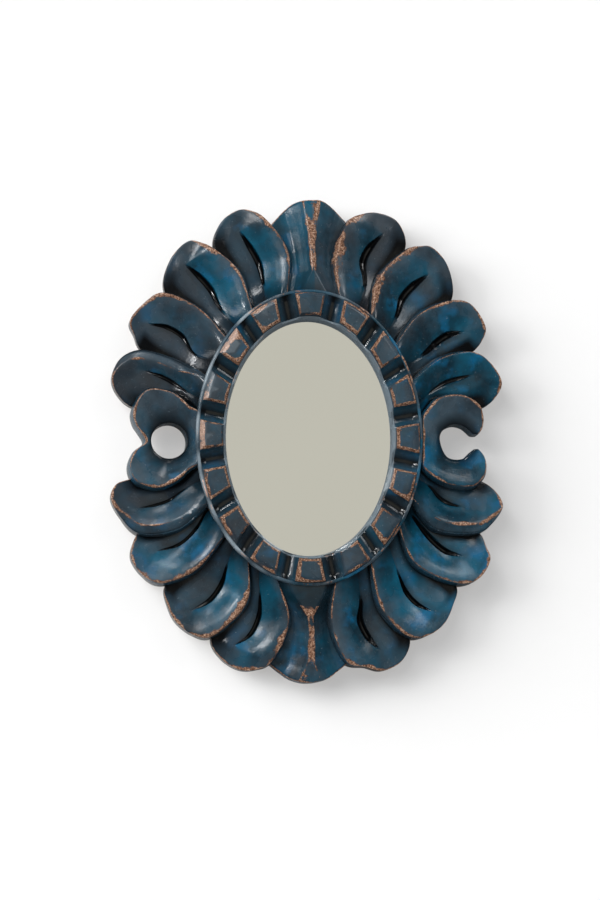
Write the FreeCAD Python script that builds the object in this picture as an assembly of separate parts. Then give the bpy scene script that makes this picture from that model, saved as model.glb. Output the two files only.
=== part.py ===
import FreeCAD, Part
import math
import os

# An oval wall mirror in a hand-carved, painted wooden frame.
# Sixteen comma-shaped petals, two end lobes and two C-scrolls surround an oval ring of square blocks.
# The carved surround is glued up from four blocks of wood round an oval inner frame, and the ring of
# blocks is a separate carving glued on the front, whose lip holds the glass in the inner frame's rebate.
# The mirror stands upright: X is to the right, Z is up, the glass faces -Y. The origin is the oval's
# centre on the wall plane, so a height here is a distance from the wall towards the viewer.

# The whole frame
OVERALL_WIDTH = 330.0
OVERALL_HEIGHT = 400.0
OVERALL_DEPTH = 38.0
OVERRUN = 5.0
WOOD_CLEARANCE = 0.1

# The photograph that the outlines are read from, in its own pixels
PHOTO_CENTRE_PIXELS = (307.5, 442.25)
PHOTO_SIZE_PIXELS = (395.0, 480.5)
# It looks from a little left of and below the centre, so a raised point shows moved right and up by
# these shares of its height above the outer edge
PHOTO_LEAN_SHARES = (0.12, 0.13)
OUTLINE_HEIGHT = 10.0

# The oval ring of blocks
RING_SIZE_PIXELS = (226.0, 297.0)
RING_BREADTH = 22.4
RING_SEAT_HEIGHT = 22.0
SIGHT_WALL_LEAN = 3.5
BEAD_BREADTH = 2.2
BEAD_HEIGHT = 33.0
BEAD_BEVEL = 0.7
BLOCK_COUNT = 16
BLOCK_BEVEL = 2.0
SCOOP_MOUTH = 16.0
SCOOP_FLOOR = 9.0
SCOOP_DEPTH = 9.0
SCOOP_SAG = 1.6

# The glass and what holds it in the inner frame
GLASS_LIP = 5.0
GLASS_THICKNESS = 3.0
GLASS_PLAY = 0.5
PACKING_THICKNESS = 1.0
BOARD_THICKNESS = 3.0
SHELF_BREADTH = 11.5
BUTTON_REACH = 15.0
BUTTON_WIDTH = 7.0
BUTTON_THICKNESS = 2.0
BUTTON_INSET = 6.0
BUTTON_PLAY = 0.3
SCREW_SHANK_RADIUS = 1.5
SCREW_HOLE_PLAY = 0.3
SCREW_HEAD_RADIUS = 3.2
SCREW_HEAD_THICKNESS = 1.8
SCREW_BITE = 5.5
SLOT_WIDTH = 0.8
SLOT_DEPTH = 0.8

# The petals. Heights run from the ring out to the tip, first along the ridge, then along the side that
# is tucked under the next petal, then the depth of the slit that runs up the middle
ROOT_INSET = 9.0
TUCK_UNDER = 7.0
SECTION_MARGIN = 7.0
LENGTH_SHARES = (0.0, 0.2, 0.5, 0.8, 1.0)
RIDGE_HEIGHTS = (31.5, 30.0, 26.5, 25.0, 23.0, 20.5, 16.5)
TUCK_HEIGHTS = (25.0, 22.0, 15.5, 13.0, 12.0, 11.0, 10.0)
SLIT_DEPTHS = (0.1, 0.1, 2.2, 4.5, 2.0, 0.1, 0.1)
# Across a petal, from its ridge: how far across, how much of the ridge's rise is left, share of the slit
PETAL_PROFILE_SHARES = (
    (0.0, 1.0, 0.0),
    (0.3, 0.78, 0.0),
    (0.5, 0.27, 0.0),
    (0.545, 0.22, 1.0),
    (0.6, 0.24, 0.0),
    (1.0, 0.0, 0.0),
)
# The C-scrolls, which lie over the last petals, and are only hollowed a little between their edges
SCROLL_RIDGE_HEIGHTS = (33.0, 32.0, 30.0, 29.0, 28.0, 26.5, 24.0)
SCROLL_HOLE_HEIGHTS = (32.0, 30.0, 27.0, 26.0, 25.0, 24.0, 23.0)
SCROLL_DISH_DEPTHS = (0.2, 0.6, 1.6, 2.0, 1.6, 0.6, 0.2)
SCROLL_PROFILE_SHARES = (
    (0.0, 1.0, 0.0),
    (0.18, 0.94, 0.2),
    (0.5, 0.5, 1.0),
    (1.0, 0.0, 0.0),
)
# The end lobes: two flutes with an arris between them, flat and wide at the ring and at the tip
ARRIS_HEIGHTS = (31.0, 29.0, 24.5, 23.0, 22.5, 21.0, 18.0)
ARRIS_HALF_SHARES = (0.3, 0.24, 0.05, 0.03, 0.035, 0.07, 0.1)
FLUTE_HEIGHTS = (27.0, 24.0, 16.0, 13.5, 12.5, 12.0, 11.5)
LOBE_PROFILE_SHARES = ((0.0, 0.0), (0.24, 0.05), (0.4, 0.36))

# Each petal from the end lobe towards the scroll, in pixels: three points along its ridge from the ring
# out, one on its shoulder, its tip, one on its back, and the valley where the next petal covers it.
# The last row of each list is that quarter's half of the scroll.
PETAL_PIXELS = {
    "upper left": (
        ((287, 292), (288, 252), (264, 217), (253, 211), (240, 209.5), (222, 221), (213, 245)),
        ((252, 309), (238, 270), (211, 246.5), (202, 243), (189, 241), (170, 260), (164, 291)),
        ((226, 337), (200, 309), (161, 292.5), (143, 305), (129, 323), (134, 337), (139, 349)),
        ((204, 375), (178, 361), (139, 350), (119, 361), (111, 380), (117, 396), (133, 409)),
        ((200, 414), (178, 394), (150, 388.5), (139, 397), (134, 411), (137, 425), (145, 440.5)),
    ),
    "upper right": (
        ((341, 293), (335.5, 258), (350, 219.5), (362, 214), (376, 212.5), (397, 221), (406, 245)),
        ((374, 312), (379, 278), (411, 247.5), (420, 246), (431, 246.5), (447, 264), (452, 299)),
        ((400, 340), (420, 314), (455, 300), (471, 304), (486, 328), (483, 339), (474, 351)),
        ((418, 378), (442, 358), (474, 352), (490, 362), (502, 382), (498, 394), (484, 407)),
        ((422, 420), (438, 400), (462, 393.5), (476, 400), (483, 415), (483, 427), (478, 441)),
    ),
    "lower right": (
        ((337, 586), (332, 622), (349, 662.5), (364, 668), (380, 671.5), (400, 662), (409, 640)),
        ((373, 565), (383, 609), (411, 636.5), (427, 636), (443, 624), (452, 606), (456, 587)),
        ((400, 527), (415, 562), (460, 583), (478, 579), (490, 559), (486, 547), (479, 533)),
        ((413, 498), (435, 527), (480, 531), (493, 523), (503, 506), (497, 493), (483, 482)),
        ((424, 466), (441, 480), (464, 486), (479, 481), (486, 465), (484, 453), (478, 441)),
    ),
    "lower left": (
        ((275, 582), (289, 620), (270, 663), (257, 670), (240, 671), (221, 660), (210, 640)),
        ((247, 561), (247, 600), (210, 636.5), (192, 636), (175, 623), (167, 607), (164, 588)),
        ((219, 541), (196, 569), (160, 582.5), (142, 577), (130, 559), (132, 545), (139, 533)),
        ((207, 503), (178, 528), (139, 532), (120, 519), (110, 499), (115, 486), (131, 480)),
        ((198, 463), (178, 481), (148, 486), (135, 478), (130, 463), (134, 451), (145, 440.5)),
    ),
}
# The end lobes' outer edges, from valley to valley
TOP_LOBE_PIXELS = ((273, 224), (288, 207), (311, 202), (335, 210), (347, 222))
BOTTOM_LOBE_PIXELS = ((270, 663), (286, 677), (309, 682.5), (332, 676), (347, 662))
# The round hole in the left scroll, and the throat in the right one that opens outwards
HOLE_CENTRE_PIXELS = (169.5, 441.0)
HOLE_RADIUS_PIXELS = 17.7
THROAT_CENTRE_PIXELS = (457.0, 441.7)
THROAT_RADIUS_PIXELS = 17.4
THROAT_MOUTH_PIXELS = (
    (457, 441.7), (467, 427.5), (474, 433.8), (500, 433.8), (500, 449), (473, 449), (468, 455.5),
)
THROAT_HEIGHT = 20.0

# The glue joints between the four carved blocks, and the flat tongue across each one
JOINT_ANGLES = (-47.0, 47.0, 133.0, 227.0, 313.0)
TONGUE_LENGTH = 30.0
TONGUE_BREADTH = 26.0
TONGUE_THICKNESS = 4.0
TONGUE_HEIGHT = 4.0
TONGUE_FROM_RING = 14.0

# The hanger, in a pocket in the back of the top block
HINGE_ABOVE_RING = 34.0
POCKET_DEPTH = 6.0
POCKET_WIDTH = 26.0
POCKET_ABOVE_HINGE = 20.0
POCKET_BELOW_HINGE = 31.0
STRAP_WIDTH = 12.0
STRAP_THICKNESS = 1.0
STRAP_LENGTH = 27.0
STRAP_SCREW_DROPS = (9.0, 22.0)
WIRE_RADIUS = 1.25
WIRE_PLAY = 0.3
RING_LEG_HALF = 9.0
RING_DROP = 16.0
RING_BEND_STEPS = 6


def at(x, z, height):
    """A point at a height above the wall."""
    return FreeCAD.Vector(x, -height, z)


# What one pixel of the photograph measures
ACROSS_PER_PIXEL = OVERALL_WIDTH / PHOTO_SIZE_PIXELS[0]
UP_PER_PIXEL = OVERALL_HEIGHT / PHOTO_SIZE_PIXELS[1]


def from_photo(pixel, height=OUTLINE_HEIGHT):
    """The point on the wall plane behind what the photograph shows at a pixel, for its height."""
    lift = height - OUTLINE_HEIGHT
    across = (pixel[0] - PHOTO_CENTRE_PIXELS[0]) * ACROSS_PER_PIXEL
    up = (PHOTO_CENTRE_PIXELS[1] - pixel[1]) * UP_PER_PIXEL
    return at(across - lift * PHOTO_LEAN_SHARES[0], up - lift * PHOTO_LEAN_SHARES[1], 0)


def raised(point, height):
    """The same plan point at a height."""
    return FreeCAD.Vector(point.x, -height, point.z)


def thicken(wire, low, high):
    """A flat outline on the wall plane made solid between two heights."""
    face = Part.Face(wire)
    face.translate(at(0, 0, low))
    return face.extrude(at(0, 0, high - low))


def joined(shapes):
    """Several solids as one, without the seams between them."""
    return shapes[0].multiFuse(shapes[1:]).removeSplitter()


def round_bar(centre, direction, radius, length):
    """A cylinder from a point along a direction."""
    return Part.makeCylinder(radius, length, centre, direction)


def pilot_hole(place, length):
    """The hole that a screw's shank fills, from the wall plane inwards."""
    return round_bar(place, at(0, 0, 1), SCREW_SHANK_RADIUS + WOOD_CLEARANCE, length)


def oval(inset, height):
    """An oval wire inside the ring's outer edge."""
    top = at(0, RING_OUTER_HEIGHT / 2 - inset, height)
    side = at(RING_OUTER_WIDTH / 2 - inset, 0, height)
    return Part.Wire(Part.Ellipse(top, side, at(0, 0, height)).toShape())


def oval_stack(levels):
    """A solid through ovals, each given by its inset and its height."""
    return Part.makeLoft([oval(inset, height) for inset, height in levels], True, True)


def oval_block(inset, low, high):
    """An upright oval block."""
    return oval_stack(((inset, low), (inset, high)))


# The ring's outer size, then the insets from its outer edge that the glass and the rebate follow
RING_OUTER_WIDTH = RING_SIZE_PIXELS[0] * ACROSS_PER_PIXEL
RING_OUTER_HEIGHT = RING_SIZE_PIXELS[1] * UP_PER_PIXEL
SIGHT_INSET = RING_BREADTH + SIGHT_WALL_LEAN
GLASS_INSET = SIGHT_INSET - GLASS_LIP
REBATE_INSET = GLASS_INSET - GLASS_PLAY
RECESS_INSET = REBATE_INSET - SHELF_BREADTH
SHELF_HEIGHT = RING_SEAT_HEIGHT - GLASS_THICKNESS - PACKING_THICKNESS - BOARD_THICKNESS
BUTTON_TOP = SHELF_HEIGHT - BUTTON_PLAY
HINGE_LEVEL = RING_OUTER_HEIGHT / 2 + HINGE_ABOVE_RING


def block_ring():
    """The oval ring: a bead round its outside, and a raised band cut into blocks by scoops."""
    block_edge = BEAD_BREADTH + BEAD_BEVEL
    blank = oval_stack((
        (0, RING_SEAT_HEIGHT),
        (0, BEAD_HEIGHT - BEAD_BEVEL),
        (BEAD_BEVEL, BEAD_HEIGHT),
        (BEAD_BREADTH, BEAD_HEIGHT),
        (block_edge, OVERALL_DEPTH - BLOCK_BEVEL),
        (block_edge + BLOCK_BEVEL, OVERALL_DEPTH),
    ))
    opening = oval_stack((
        (SIGHT_INSET, RING_SEAT_HEIGHT - OVERRUN),
        (SIGHT_INSET, RING_SEAT_HEIGHT),
        (RING_BREADTH, OVERALL_DEPTH - BLOCK_BEVEL),
        (RING_BREADTH - BLOCK_BEVEL, OVERALL_DEPTH),
        (RING_BREADTH - BLOCK_BEVEL, OVERALL_DEPTH + OVERRUN),
    ))
    inside_bead = oval_block(BEAD_BREADTH, RING_SEAT_HEIGHT, OVERALL_DEPTH + OVERRUN)
    scoops = joined(scoop_tools()).common(inside_bead)
    return blank.cut(opening).cut(scoops)


def scoop_tools():
    """One gouge cut midway between each two blocks, spaced evenly round the ring."""
    floor = OVERALL_DEPTH - SCOOP_DEPTH
    mouth = OVERALL_DEPTH + OVERRUN
    flare = (SCOOP_MOUTH - SCOOP_FLOOR) / 2 * (mouth - floor) / SCOOP_DEPTH
    middle = oval(RING_BREADTH / 2, 0).Edges[0]
    places = middle.discretize(Number=2 * BLOCK_COUNT + 1)
    tools = []
    for step in range(1, 2 * BLOCK_COUNT, 2):
        along = (places[step + 1] - places[step - 1]).normalize()
        outward = FreeCAD.Vector(-along.z, 0, along.x)
        start = places[step] - outward * RING_BREADTH
        left, right = along * (-SCOOP_FLOOR / 2), along * (SCOOP_FLOOR / 2)
        low, deep, high = at(0, 0, floor + SCOOP_SAG), at(0, 0, floor), at(0, 0, mouth)
        spread = along * flare
        corners = [start + left + low, start + right + low, start + right + spread + high,
                   start + left - spread + high]
        edges = [Part.Arc(corners[0], start + deep, corners[1]).toShape()]
        edges += [Part.makeLine(corners[i], corners[(i + 1) % 4]) for i in (1, 2, 3)]
        tools.append(Part.Face(Part.Wire(edges)).extrude(outward * (2 * RING_BREADTH)))
    return tools


def inner_frame():
    """The oval inner frame, rebated from behind, with a shelf for the turn buttons."""
    body = oval_block(0, 0, RING_SEAT_HEIGHT)
    body = body.cut(oval_block(REBATE_INSET, -OVERRUN, RING_SEAT_HEIGHT + OVERRUN))
    body = body.cut(oval_block(RECESS_INSET, -OVERRUN, SHELF_HEIGHT))
    for place, inwards in button_places():
        body = body.cut(pilot_hole(place, SHELF_HEIGHT + SCREW_BITE))
    return body


def mirror_glass():
    return oval_block(GLASS_INSET, RING_SEAT_HEIGHT - GLASS_THICKNESS, RING_SEAT_HEIGHT)


def packing_sheet():
    low = SHELF_HEIGHT + BOARD_THICKNESS
    return oval_block(GLASS_INSET, low, low + PACKING_THICKNESS)


def backing_board():
    return oval_block(GLASS_INSET, SHELF_HEIGHT, SHELF_HEIGHT + BOARD_THICKNESS)


def button_places():
    """Where each turn button pivots, at the four ends of the oval, and its way inwards."""
    out = RING_OUTER_WIDTH / 2 - RECESS_INSET - BUTTON_INSET
    up = RING_OUTER_HEIGHT / 2 - RECESS_INSET - BUTTON_INSET
    return ((at(0, up, 0), at(0, -1, 0)), (at(out, 0, 0), at(-1, 0, 0)),
            (at(0, -up, 0), at(0, 1, 0)), (at(-out, 0, 0), at(1, 0, 0)))


BUTTON_NAMES = ("turn_button_top", "turn_button_right", "turn_button_bottom", "turn_button_left")


def turn_button(place, inwards):
    """A flat brass button, cut square, that turns on its screw."""
    half = BUTTON_WIDTH / 2
    side = FreeCAD.Vector(-inwards.z, 0, inwards.x) * half
    heel = place - inwards * half
    nose = place + inwards * BUTTON_REACH
    corners = [heel + side, nose + side, nose - side, heel - side, heel + side]
    plate = thicken(Part.makePolygon(corners), BUTTON_TOP - BUTTON_THICKNESS, BUTTON_TOP)
    hole = round_bar(place, at(0, 0, 1), SCREW_SHANK_RADIUS + SCREW_HOLE_PLAY, OVERALL_DEPTH)
    return plate.cut(hole)


def wood_screw(place, seat, tip):
    """A slotted screw with a flat-topped head below the seat height and its shank up to the tip."""
    low = seat - SCREW_HEAD_THICKNESS
    head = round_bar(raised(place, low), at(0, 0, 1), SCREW_HEAD_RADIUS, SCREW_HEAD_THICKNESS)
    slot = Part.makeBox(2 * SCREW_HEAD_RADIUS, SLOT_DEPTH, SLOT_WIDTH)
    slot.translate(raised(place, low + SLOT_DEPTH) - FreeCAD.Vector(SCREW_HEAD_RADIUS, 0, SLOT_WIDTH / 2))
    shank = round_bar(raised(place, seat), at(0, 0, 1), SCREW_SHANK_RADIUS, tip - seat)
    return head.cut(slot).fuse(shank)


def button_screws():
    seat = BUTTON_TOP - BUTTON_THICKNESS - BUTTON_PLAY
    return Part.makeCompound([
        wood_screw(place, seat, SHELF_HEIGHT + SCREW_BITE) for place, inwards in button_places()
    ])


def petal_points(row, heights):
    """A petal's seven outline points, each set back for its own height."""
    ridge_height = (heights[1], heights[3], heights[5])
    levels = ridge_height + (heights[6], OUTLINE_HEIGHT, OUTLINE_HEIGHT, OUTLINE_HEIGHT)
    return [from_photo(pixel, level) for pixel, level in zip(row, levels)]


def tuck_points(points, neighbour):
    """The hidden side of a petal, just inside the ridge of the petal that covers it."""
    hidden = []
    for own, other in zip(points[:2], neighbour[:2]):
        away = (other - own).normalize()
        hidden.append(other + away * TUCK_UNDER)
    return hidden


def inward(point):
    """A plan point moved towards the middle of the oval, under the ring."""
    return point - FreeCAD.Vector(point).normalize() * ROOT_INSET


def along_arc(arc, share):
    """The point at a share of an arc's length."""
    return arc.value(arc.FirstParameter + share * (arc.LastParameter - arc.FirstParameter))


def carved_form(outline, near_side, far_side, tip, section):
    """A raised form: its outline as a block, topped by a surface lofted through sections.

    The sections run from near_side to far_side, first under the ring, then along both arcs, then
    past the tip, and section gives the points of one, from its number and its two ends.
    """
    pairs = [(inward(along_arc(near_side, 0)), inward(along_arc(far_side, 0)))]
    pairs += [(along_arc(near_side, share), along_arc(far_side, share)) for share in LENGTH_SHARES]
    last_near, last_far = pairs[-1]
    beyond = tip - (last_near + last_far) / 2
    beyond = beyond + FreeCAD.Vector(beyond).normalize() * SECTION_MARGIN
    pairs.append((last_near + beyond, last_far + beyond))
    wires = []
    for number, (near, far) in enumerate(pairs):
        margin = FreeCAD.Vector(far - near).normalize() * SECTION_MARGIN
        top = section(number, near, far)
        low = -SECTION_MARGIN
        points = [raised(near - margin, low), near - margin + FreeCAD.Vector(0, top[0].y, 0)]
        points += top
        points += [far + margin + FreeCAD.Vector(0, top[-1].y, 0), raised(far + margin, low)]
        wires.append(Part.makePolygon(points + points[:1]))
    topped = Part.makeLoft(wires, True, True)
    return thicken(outline, 0, OVERALL_DEPTH).common(topped)


def petal(points, hidden, high, low, slits, profile):
    """One petal or scroll half, from its seven outline points and the two on its hidden side."""
    root, bow, end, shoulder, tip, back, valley = points
    hidden_root, hidden_bow = hidden
    ridge = Part.Arc(root, bow, end)
    tuck = Part.Arc(hidden_root, hidden_bow, valley)
    outline = Part.Wire([
        ridge.toShape(),
        Part.Arc(end, shoulder, tip).toShape(),
        Part.Arc(tip, back, valley).toShape(),
        Part.Arc(valley, hidden_bow, hidden_root).toShape(),
        Part.makeLine(hidden_root, inward(hidden_root)),
        Part.makeLine(inward(hidden_root), inward(root)),
        Part.makeLine(inward(root), root),
    ])

    def section(number, near, far):
        rise = high[number] - low[number]
        return [raised(near + (far - near) * across, low[number] + rise * left - slits[number] * slit)
                for across, left, slit in profile]

    return carved_form(outline, ridge, tuck, tip, section)


def lobe(edge, left_petal, right_petal):
    """The lobe at one end of the oval, which the first petal on each side covers."""
    valley, shoulder, tip, far_shoulder, far_valley = [from_photo(pixel) for pixel in edge]
    sides = []
    for own, other in ((left_petal, right_petal), (right_petal, left_petal)):
        away = [(mine - yours).normalize() * TUCK_UNDER for mine, yours in zip(own[:2], other[:2])]
        sides.append([own[0] + away[0], own[1] + away[1]])
    (root, bow), (far_root, far_bow) = sides
    near_side = Part.Arc(root, bow, valley)
    far_side = Part.Arc(far_root, far_bow, far_valley)
    outline = Part.Wire([
        near_side.toShape(),
        Part.Arc(valley, shoulder, tip).toShape(),
        Part.Arc(tip, far_shoulder, far_valley).toShape(),
        Part.Arc(far_valley, far_bow, far_root).toShape(),
        Part.makeLine(far_root, inward(far_root)),
        Part.makeLine(inward(far_root), inward(root)),
        Part.makeLine(inward(root), root),
    ])

    def section(number, near, far):
        low = FLUTE_HEIGHTS[number]
        high = ARRIS_HEIGHTS[number]
        half = ARRIS_HALF_SHARES[number]
        flute = [(across * (1 - 2 * half), left) for across, left in LOBE_PROFILE_SHARES]
        across_all = flute + [(0.5 - half, 1.0)]
        across_all += [(1 - across, left) for across, left in reversed(across_all)]
        return [raised(near + (far - near) * across, low + (high - low) * left)
                for across, left in across_all]

    return carved_form(outline, near_side, far_side, tip, section)


def carved_surround():
    """All the petals, lobes and scrolls as one carving, before it is cut up."""
    forms = []
    first_petals = {}
    for quarter, rows in PETAL_PIXELS.items():
        placed = [petal_points(row, RIDGE_HEIGHTS) for row in rows[:-1]]
        placed.append(petal_points(rows[-1], SCROLL_RIDGE_HEIGHTS))
        first_petals[quarter] = placed[0]
        for points, neighbour in zip(placed, placed[1:]):
            hidden = tuck_points(points, neighbour)
            heights = (RIDGE_HEIGHTS, TUCK_HEIGHTS, SLIT_DEPTHS)
            forms.append(petal(points, hidden, *heights, PETAL_PROFILE_SHARES))
        forms.append(scroll_half(placed[-1]))
    forms.append(lobe(TOP_LOBE_PIXELS, first_petals["upper left"], first_petals["upper right"]))
    forms.append(lobe(BOTTOM_LOBE_PIXELS, first_petals["lower left"], first_petals["lower right"]))
    return joined(forms).cut(scroll_openings())


def scroll_half(points):
    """Half a C-scroll: like a petal, but its hidden side is the line that it shares with the other."""
    root, valley = points[0], points[-1]
    meeting = -math.copysign(WOOD_CLEARANCE, root.z)
    hidden = [at(root.x, meeting, 0), at((root.x + valley.x) / 2, meeting * 2, 0)]
    flat = points[:-1] + [at(valley.x, meeting, 0)]
    heights = (SCROLL_RIDGE_HEIGHTS, SCROLL_HOLE_HEIGHTS, SCROLL_DISH_DEPTHS)
    return petal(flat, hidden, *heights, SCROLL_PROFILE_SHARES)


def scroll_openings():
    """The round hole through the left scroll, and the open throat of the right one."""
    through = OVERALL_DEPTH + 2 * OVERRUN
    behind = at(0, 0, -OVERRUN)
    hole_radius = HOLE_RADIUS_PIXELS * ACROSS_PER_PIXEL
    throat_radius = THROAT_RADIUS_PIXELS * ACROSS_PER_PIXEL
    hole_start = from_photo(HOLE_CENTRE_PIXELS, THROAT_HEIGHT) + behind
    hole = round_bar(hole_start, at(0, 0, 1), hole_radius, through)
    throat_start = from_photo(THROAT_CENTRE_PIXELS, THROAT_HEIGHT) + behind
    throat = round_bar(throat_start, at(0, 0, 1), throat_radius, through)
    corners = [from_photo(pixel, THROAT_HEIGHT) for pixel in THROAT_MOUTH_PIXELS]
    mouth = thicken(Part.makePolygon(corners + corners[:1]), -OVERRUN, OVERALL_DEPTH + OVERRUN)
    return Part.makeCompound([hole, throat.fuse(mouth)])


def tongue(degrees, play):
    """The flat tongue across the glue joint at an angle, or with play the mortise that it fits."""
    angle = math.radians(degrees)
    edge = math.hypot(math.cos(angle) / RING_OUTER_WIDTH, math.sin(angle) / RING_OUTER_HEIGHT)
    start = 1 / (2 * edge) + TONGUE_FROM_RING
    block = Part.makeBox(TONGUE_BREADTH + 2 * play, TONGUE_THICKNESS + 2 * play, TONGUE_LENGTH + 2 * play)
    block.translate(at(start - play, -TONGUE_LENGTH / 2 - play, TONGUE_HEIGHT + TONGUE_THICKNESS + play))
    return block.rotate(at(0, 0, 0), at(0, 0, 1), degrees)


TONGUE_NAMES = ("tongue_upper_right", "tongue_upper_left", "tongue_lower_left", "tongue_lower_right")


def wedge_between(first, last):
    """A wedge from the middle of the oval between two glue joints."""
    reach = OVERALL_HEIGHT
    corners = [at(0, 0, 0)]
    for degrees in (first, last):
        angle = math.radians(degrees)
        corners.append(at(reach * math.cos(angle), reach * math.sin(angle), 0))
    return thicken(Part.makePolygon(corners + corners[:1]), -OVERRUN, OVERALL_DEPTH + OVERRUN)


def hanger_pocket():
    """The pocket in the back for the hanger, with the holes of its screws."""
    low = HINGE_LEVEL - POCKET_BELOW_HINGE
    pocket = Part.makeBox(POCKET_WIDTH, POCKET_DEPTH + OVERRUN, POCKET_BELOW_HINGE + POCKET_ABOVE_HINGE)
    pocket.translate(at(-POCKET_WIDTH / 2, low, POCKET_DEPTH))
    length = POCKET_DEPTH + SCREW_BITE
    holes = [pilot_hole(at(0, HINGE_LEVEL - drop, 0), length) for drop in STRAP_SCREW_DROPS]
    return pocket.multiFuse(holes)


def carved_blocks():
    """The surround cut at its glue joints into the four blocks it was glued up from, and for the ring."""
    carving = carved_surround()
    cuts = [tongue(degrees, WOOD_CLEARANCE) for degrees in JOINT_ANGLES[1:]] + [hanger_pocket()]
    middle = oval_block(-WOOD_CLEARANCE, -OVERRUN, OVERALL_DEPTH + OVERRUN)
    names = ("petals_right", "petals_top", "petals_left", "petals_bottom")
    blocks = {}
    for name, first, last in zip(names, JOINT_ANGLES, JOINT_ANGLES[1:]):
        blocks[name] = carving.common(wedge_between(first, last).cut(middle)).cut(cuts)
    return blocks


def hinge_point():
    """The middle of the hanger ring's straight leg."""
    return at(0, HINGE_LEVEL, POCKET_DEPTH - STRAP_THICKNESS - WIRE_PLAY - WIRE_RADIUS)


def hanger_strap():
    """A steel strap screwed to the pocket's floor, its top rolled round the ring's leg."""
    middle = hinge_point()
    floor = POCKET_DEPTH
    half = STRAP_WIDTH / 2
    low = HINGE_LEVEL - STRAP_LENGTH
    edges = [
        Part.makeLine(at(-half, HINGE_LEVEL, 0), at(-half, low + half, 0)),
        Part.Arc(at(-half, low + half, 0), at(0, low, 0), at(half, low + half, 0)).toShape(),
        Part.makeLine(at(half, low + half, 0), at(half, HINGE_LEVEL, 0)),
        Part.makeLine(at(half, HINGE_LEVEL, 0), at(-half, HINGE_LEVEL, 0)),
    ]
    plate = thicken(Part.Wire(edges), floor - STRAP_THICKNESS, floor)
    roll_radius = WIRE_RADIUS + WIRE_PLAY
    start = middle - FreeCAD.Vector(half, 0, 0)
    sideways = FreeCAD.Vector(1, 0, 0)
    roll = round_bar(start, sideways, roll_radius + STRAP_THICKNESS, STRAP_WIDTH)
    bore = round_bar(start - sideways * OVERRUN, sideways, roll_radius, STRAP_WIDTH + 2 * OVERRUN)
    body = plate.fuse(roll).cut(bore)
    for drop in STRAP_SCREW_DROPS:
        body = body.cut(pilot_hole(at(0, HINGE_LEVEL - drop, 0), OVERALL_DEPTH))
    return body


def hanger_ring():
    """A D-ring of round wire, hanging down from its straight leg, its bend in short mitred runs."""
    middle = hinge_point()
    bend = RING_DROP - RING_LEG_HALF
    path = [middle, middle + at(RING_LEG_HALF, 0, 0)]
    for step in range(RING_BEND_STEPS // 2 + 1):
        angle = math.pi * step / RING_BEND_STEPS
        path.append(middle + at(RING_LEG_HALF * math.cos(angle), -bend - RING_LEG_HALF * math.sin(angle), 0))
    profile = Part.Wire(Part.makeCircle(WIRE_RADIUS, middle, FreeCAD.Vector(1, 0, 0)))
    side = Part.makePolygon(path).makePipeShell([profile], True, False, 1)
    return side.fuse(side.mirror(middle, FreeCAD.Vector(1, 0, 0))).removeSplitter()


def hanger_screws():
    return Part.makeCompound([
        wood_screw(at(0, HINGE_LEVEL - drop, 0), POCKET_DEPTH - STRAP_THICKNESS, POCKET_DEPTH + SCREW_BITE)
        for drop in STRAP_SCREW_DROPS
    ])


def all_parts():
    parts = {
        "inner_frame": inner_frame(),
        "block_ring": block_ring(),
        "mirror_glass": mirror_glass(),
        "packing_sheet": packing_sheet(),
        "backing_board": backing_board(),
        "button_screws": button_screws(),
        "hanger_strap": hanger_strap(),
        "hanger_ring": hanger_ring(),
        "hanger_screws": hanger_screws(),
    }
    for name, (place, inwards) in zip(BUTTON_NAMES, button_places()):
        parts[name] = turn_button(place, inwards)
    for name, degrees in zip(TONGUE_NAMES, JOINT_ANGLES[1:]):
        parts[name] = tongue(degrees, 0)
    parts.update(carved_blocks())
    return parts


os.makedirs("parts", exist_ok=True)
for part_name, shape in all_parts().items():
    print(part_name, len(shape.Solids), "solids", shape.isValid(), round(shape.Volume))
    shape.exportStep(os.path.join("parts", part_name + ".step"))
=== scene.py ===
import math
import bmesh
import bpy
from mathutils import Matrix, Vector, noise


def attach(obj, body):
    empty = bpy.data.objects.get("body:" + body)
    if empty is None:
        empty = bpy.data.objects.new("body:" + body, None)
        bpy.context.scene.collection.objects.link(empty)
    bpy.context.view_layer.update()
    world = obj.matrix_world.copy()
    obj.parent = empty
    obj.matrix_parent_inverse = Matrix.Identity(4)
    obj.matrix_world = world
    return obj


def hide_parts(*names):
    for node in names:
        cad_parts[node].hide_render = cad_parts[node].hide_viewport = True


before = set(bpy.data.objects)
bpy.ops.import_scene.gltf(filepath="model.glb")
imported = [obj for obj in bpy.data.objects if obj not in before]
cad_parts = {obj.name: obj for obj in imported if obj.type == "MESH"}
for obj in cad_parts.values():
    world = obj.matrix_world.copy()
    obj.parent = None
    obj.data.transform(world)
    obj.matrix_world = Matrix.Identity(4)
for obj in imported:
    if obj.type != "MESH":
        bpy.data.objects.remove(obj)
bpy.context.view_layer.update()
bpy.ops.object.select_all(action="DESELECT")


# The wall
# A smooth white wall a few millimetres behind the mirror, so that the mirror throws a soft shadow on it.
# Seen or lit from behind it lets everything through, so that the mirror's back can be looked at too.
MM = 0.001
WALL_SIZE = 6.0
WALL_GAP = 6.0 * MM
WALL_PAINT = "#898989"
WALL_LIFT = 0.37


def linear(code):
    """An sRGB hex colour as the linear values that a shader takes."""
    parts = [int(code[place:place + 2], 16) / 255 for place in (1, 3, 5)]
    return [part / 12.92 if part <= 0.04045 else ((part + 0.055) / 1.055) ** 2.4 for part in parts] + [1.0]


def new_material(name):
    """An empty node material with only its output."""
    material = bpy.data.materials.new(name)
    material.use_nodes = True
    material.node_tree.nodes.clear()
    add_node(material, "ShaderNodeOutputMaterial", "out")
    return material


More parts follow.
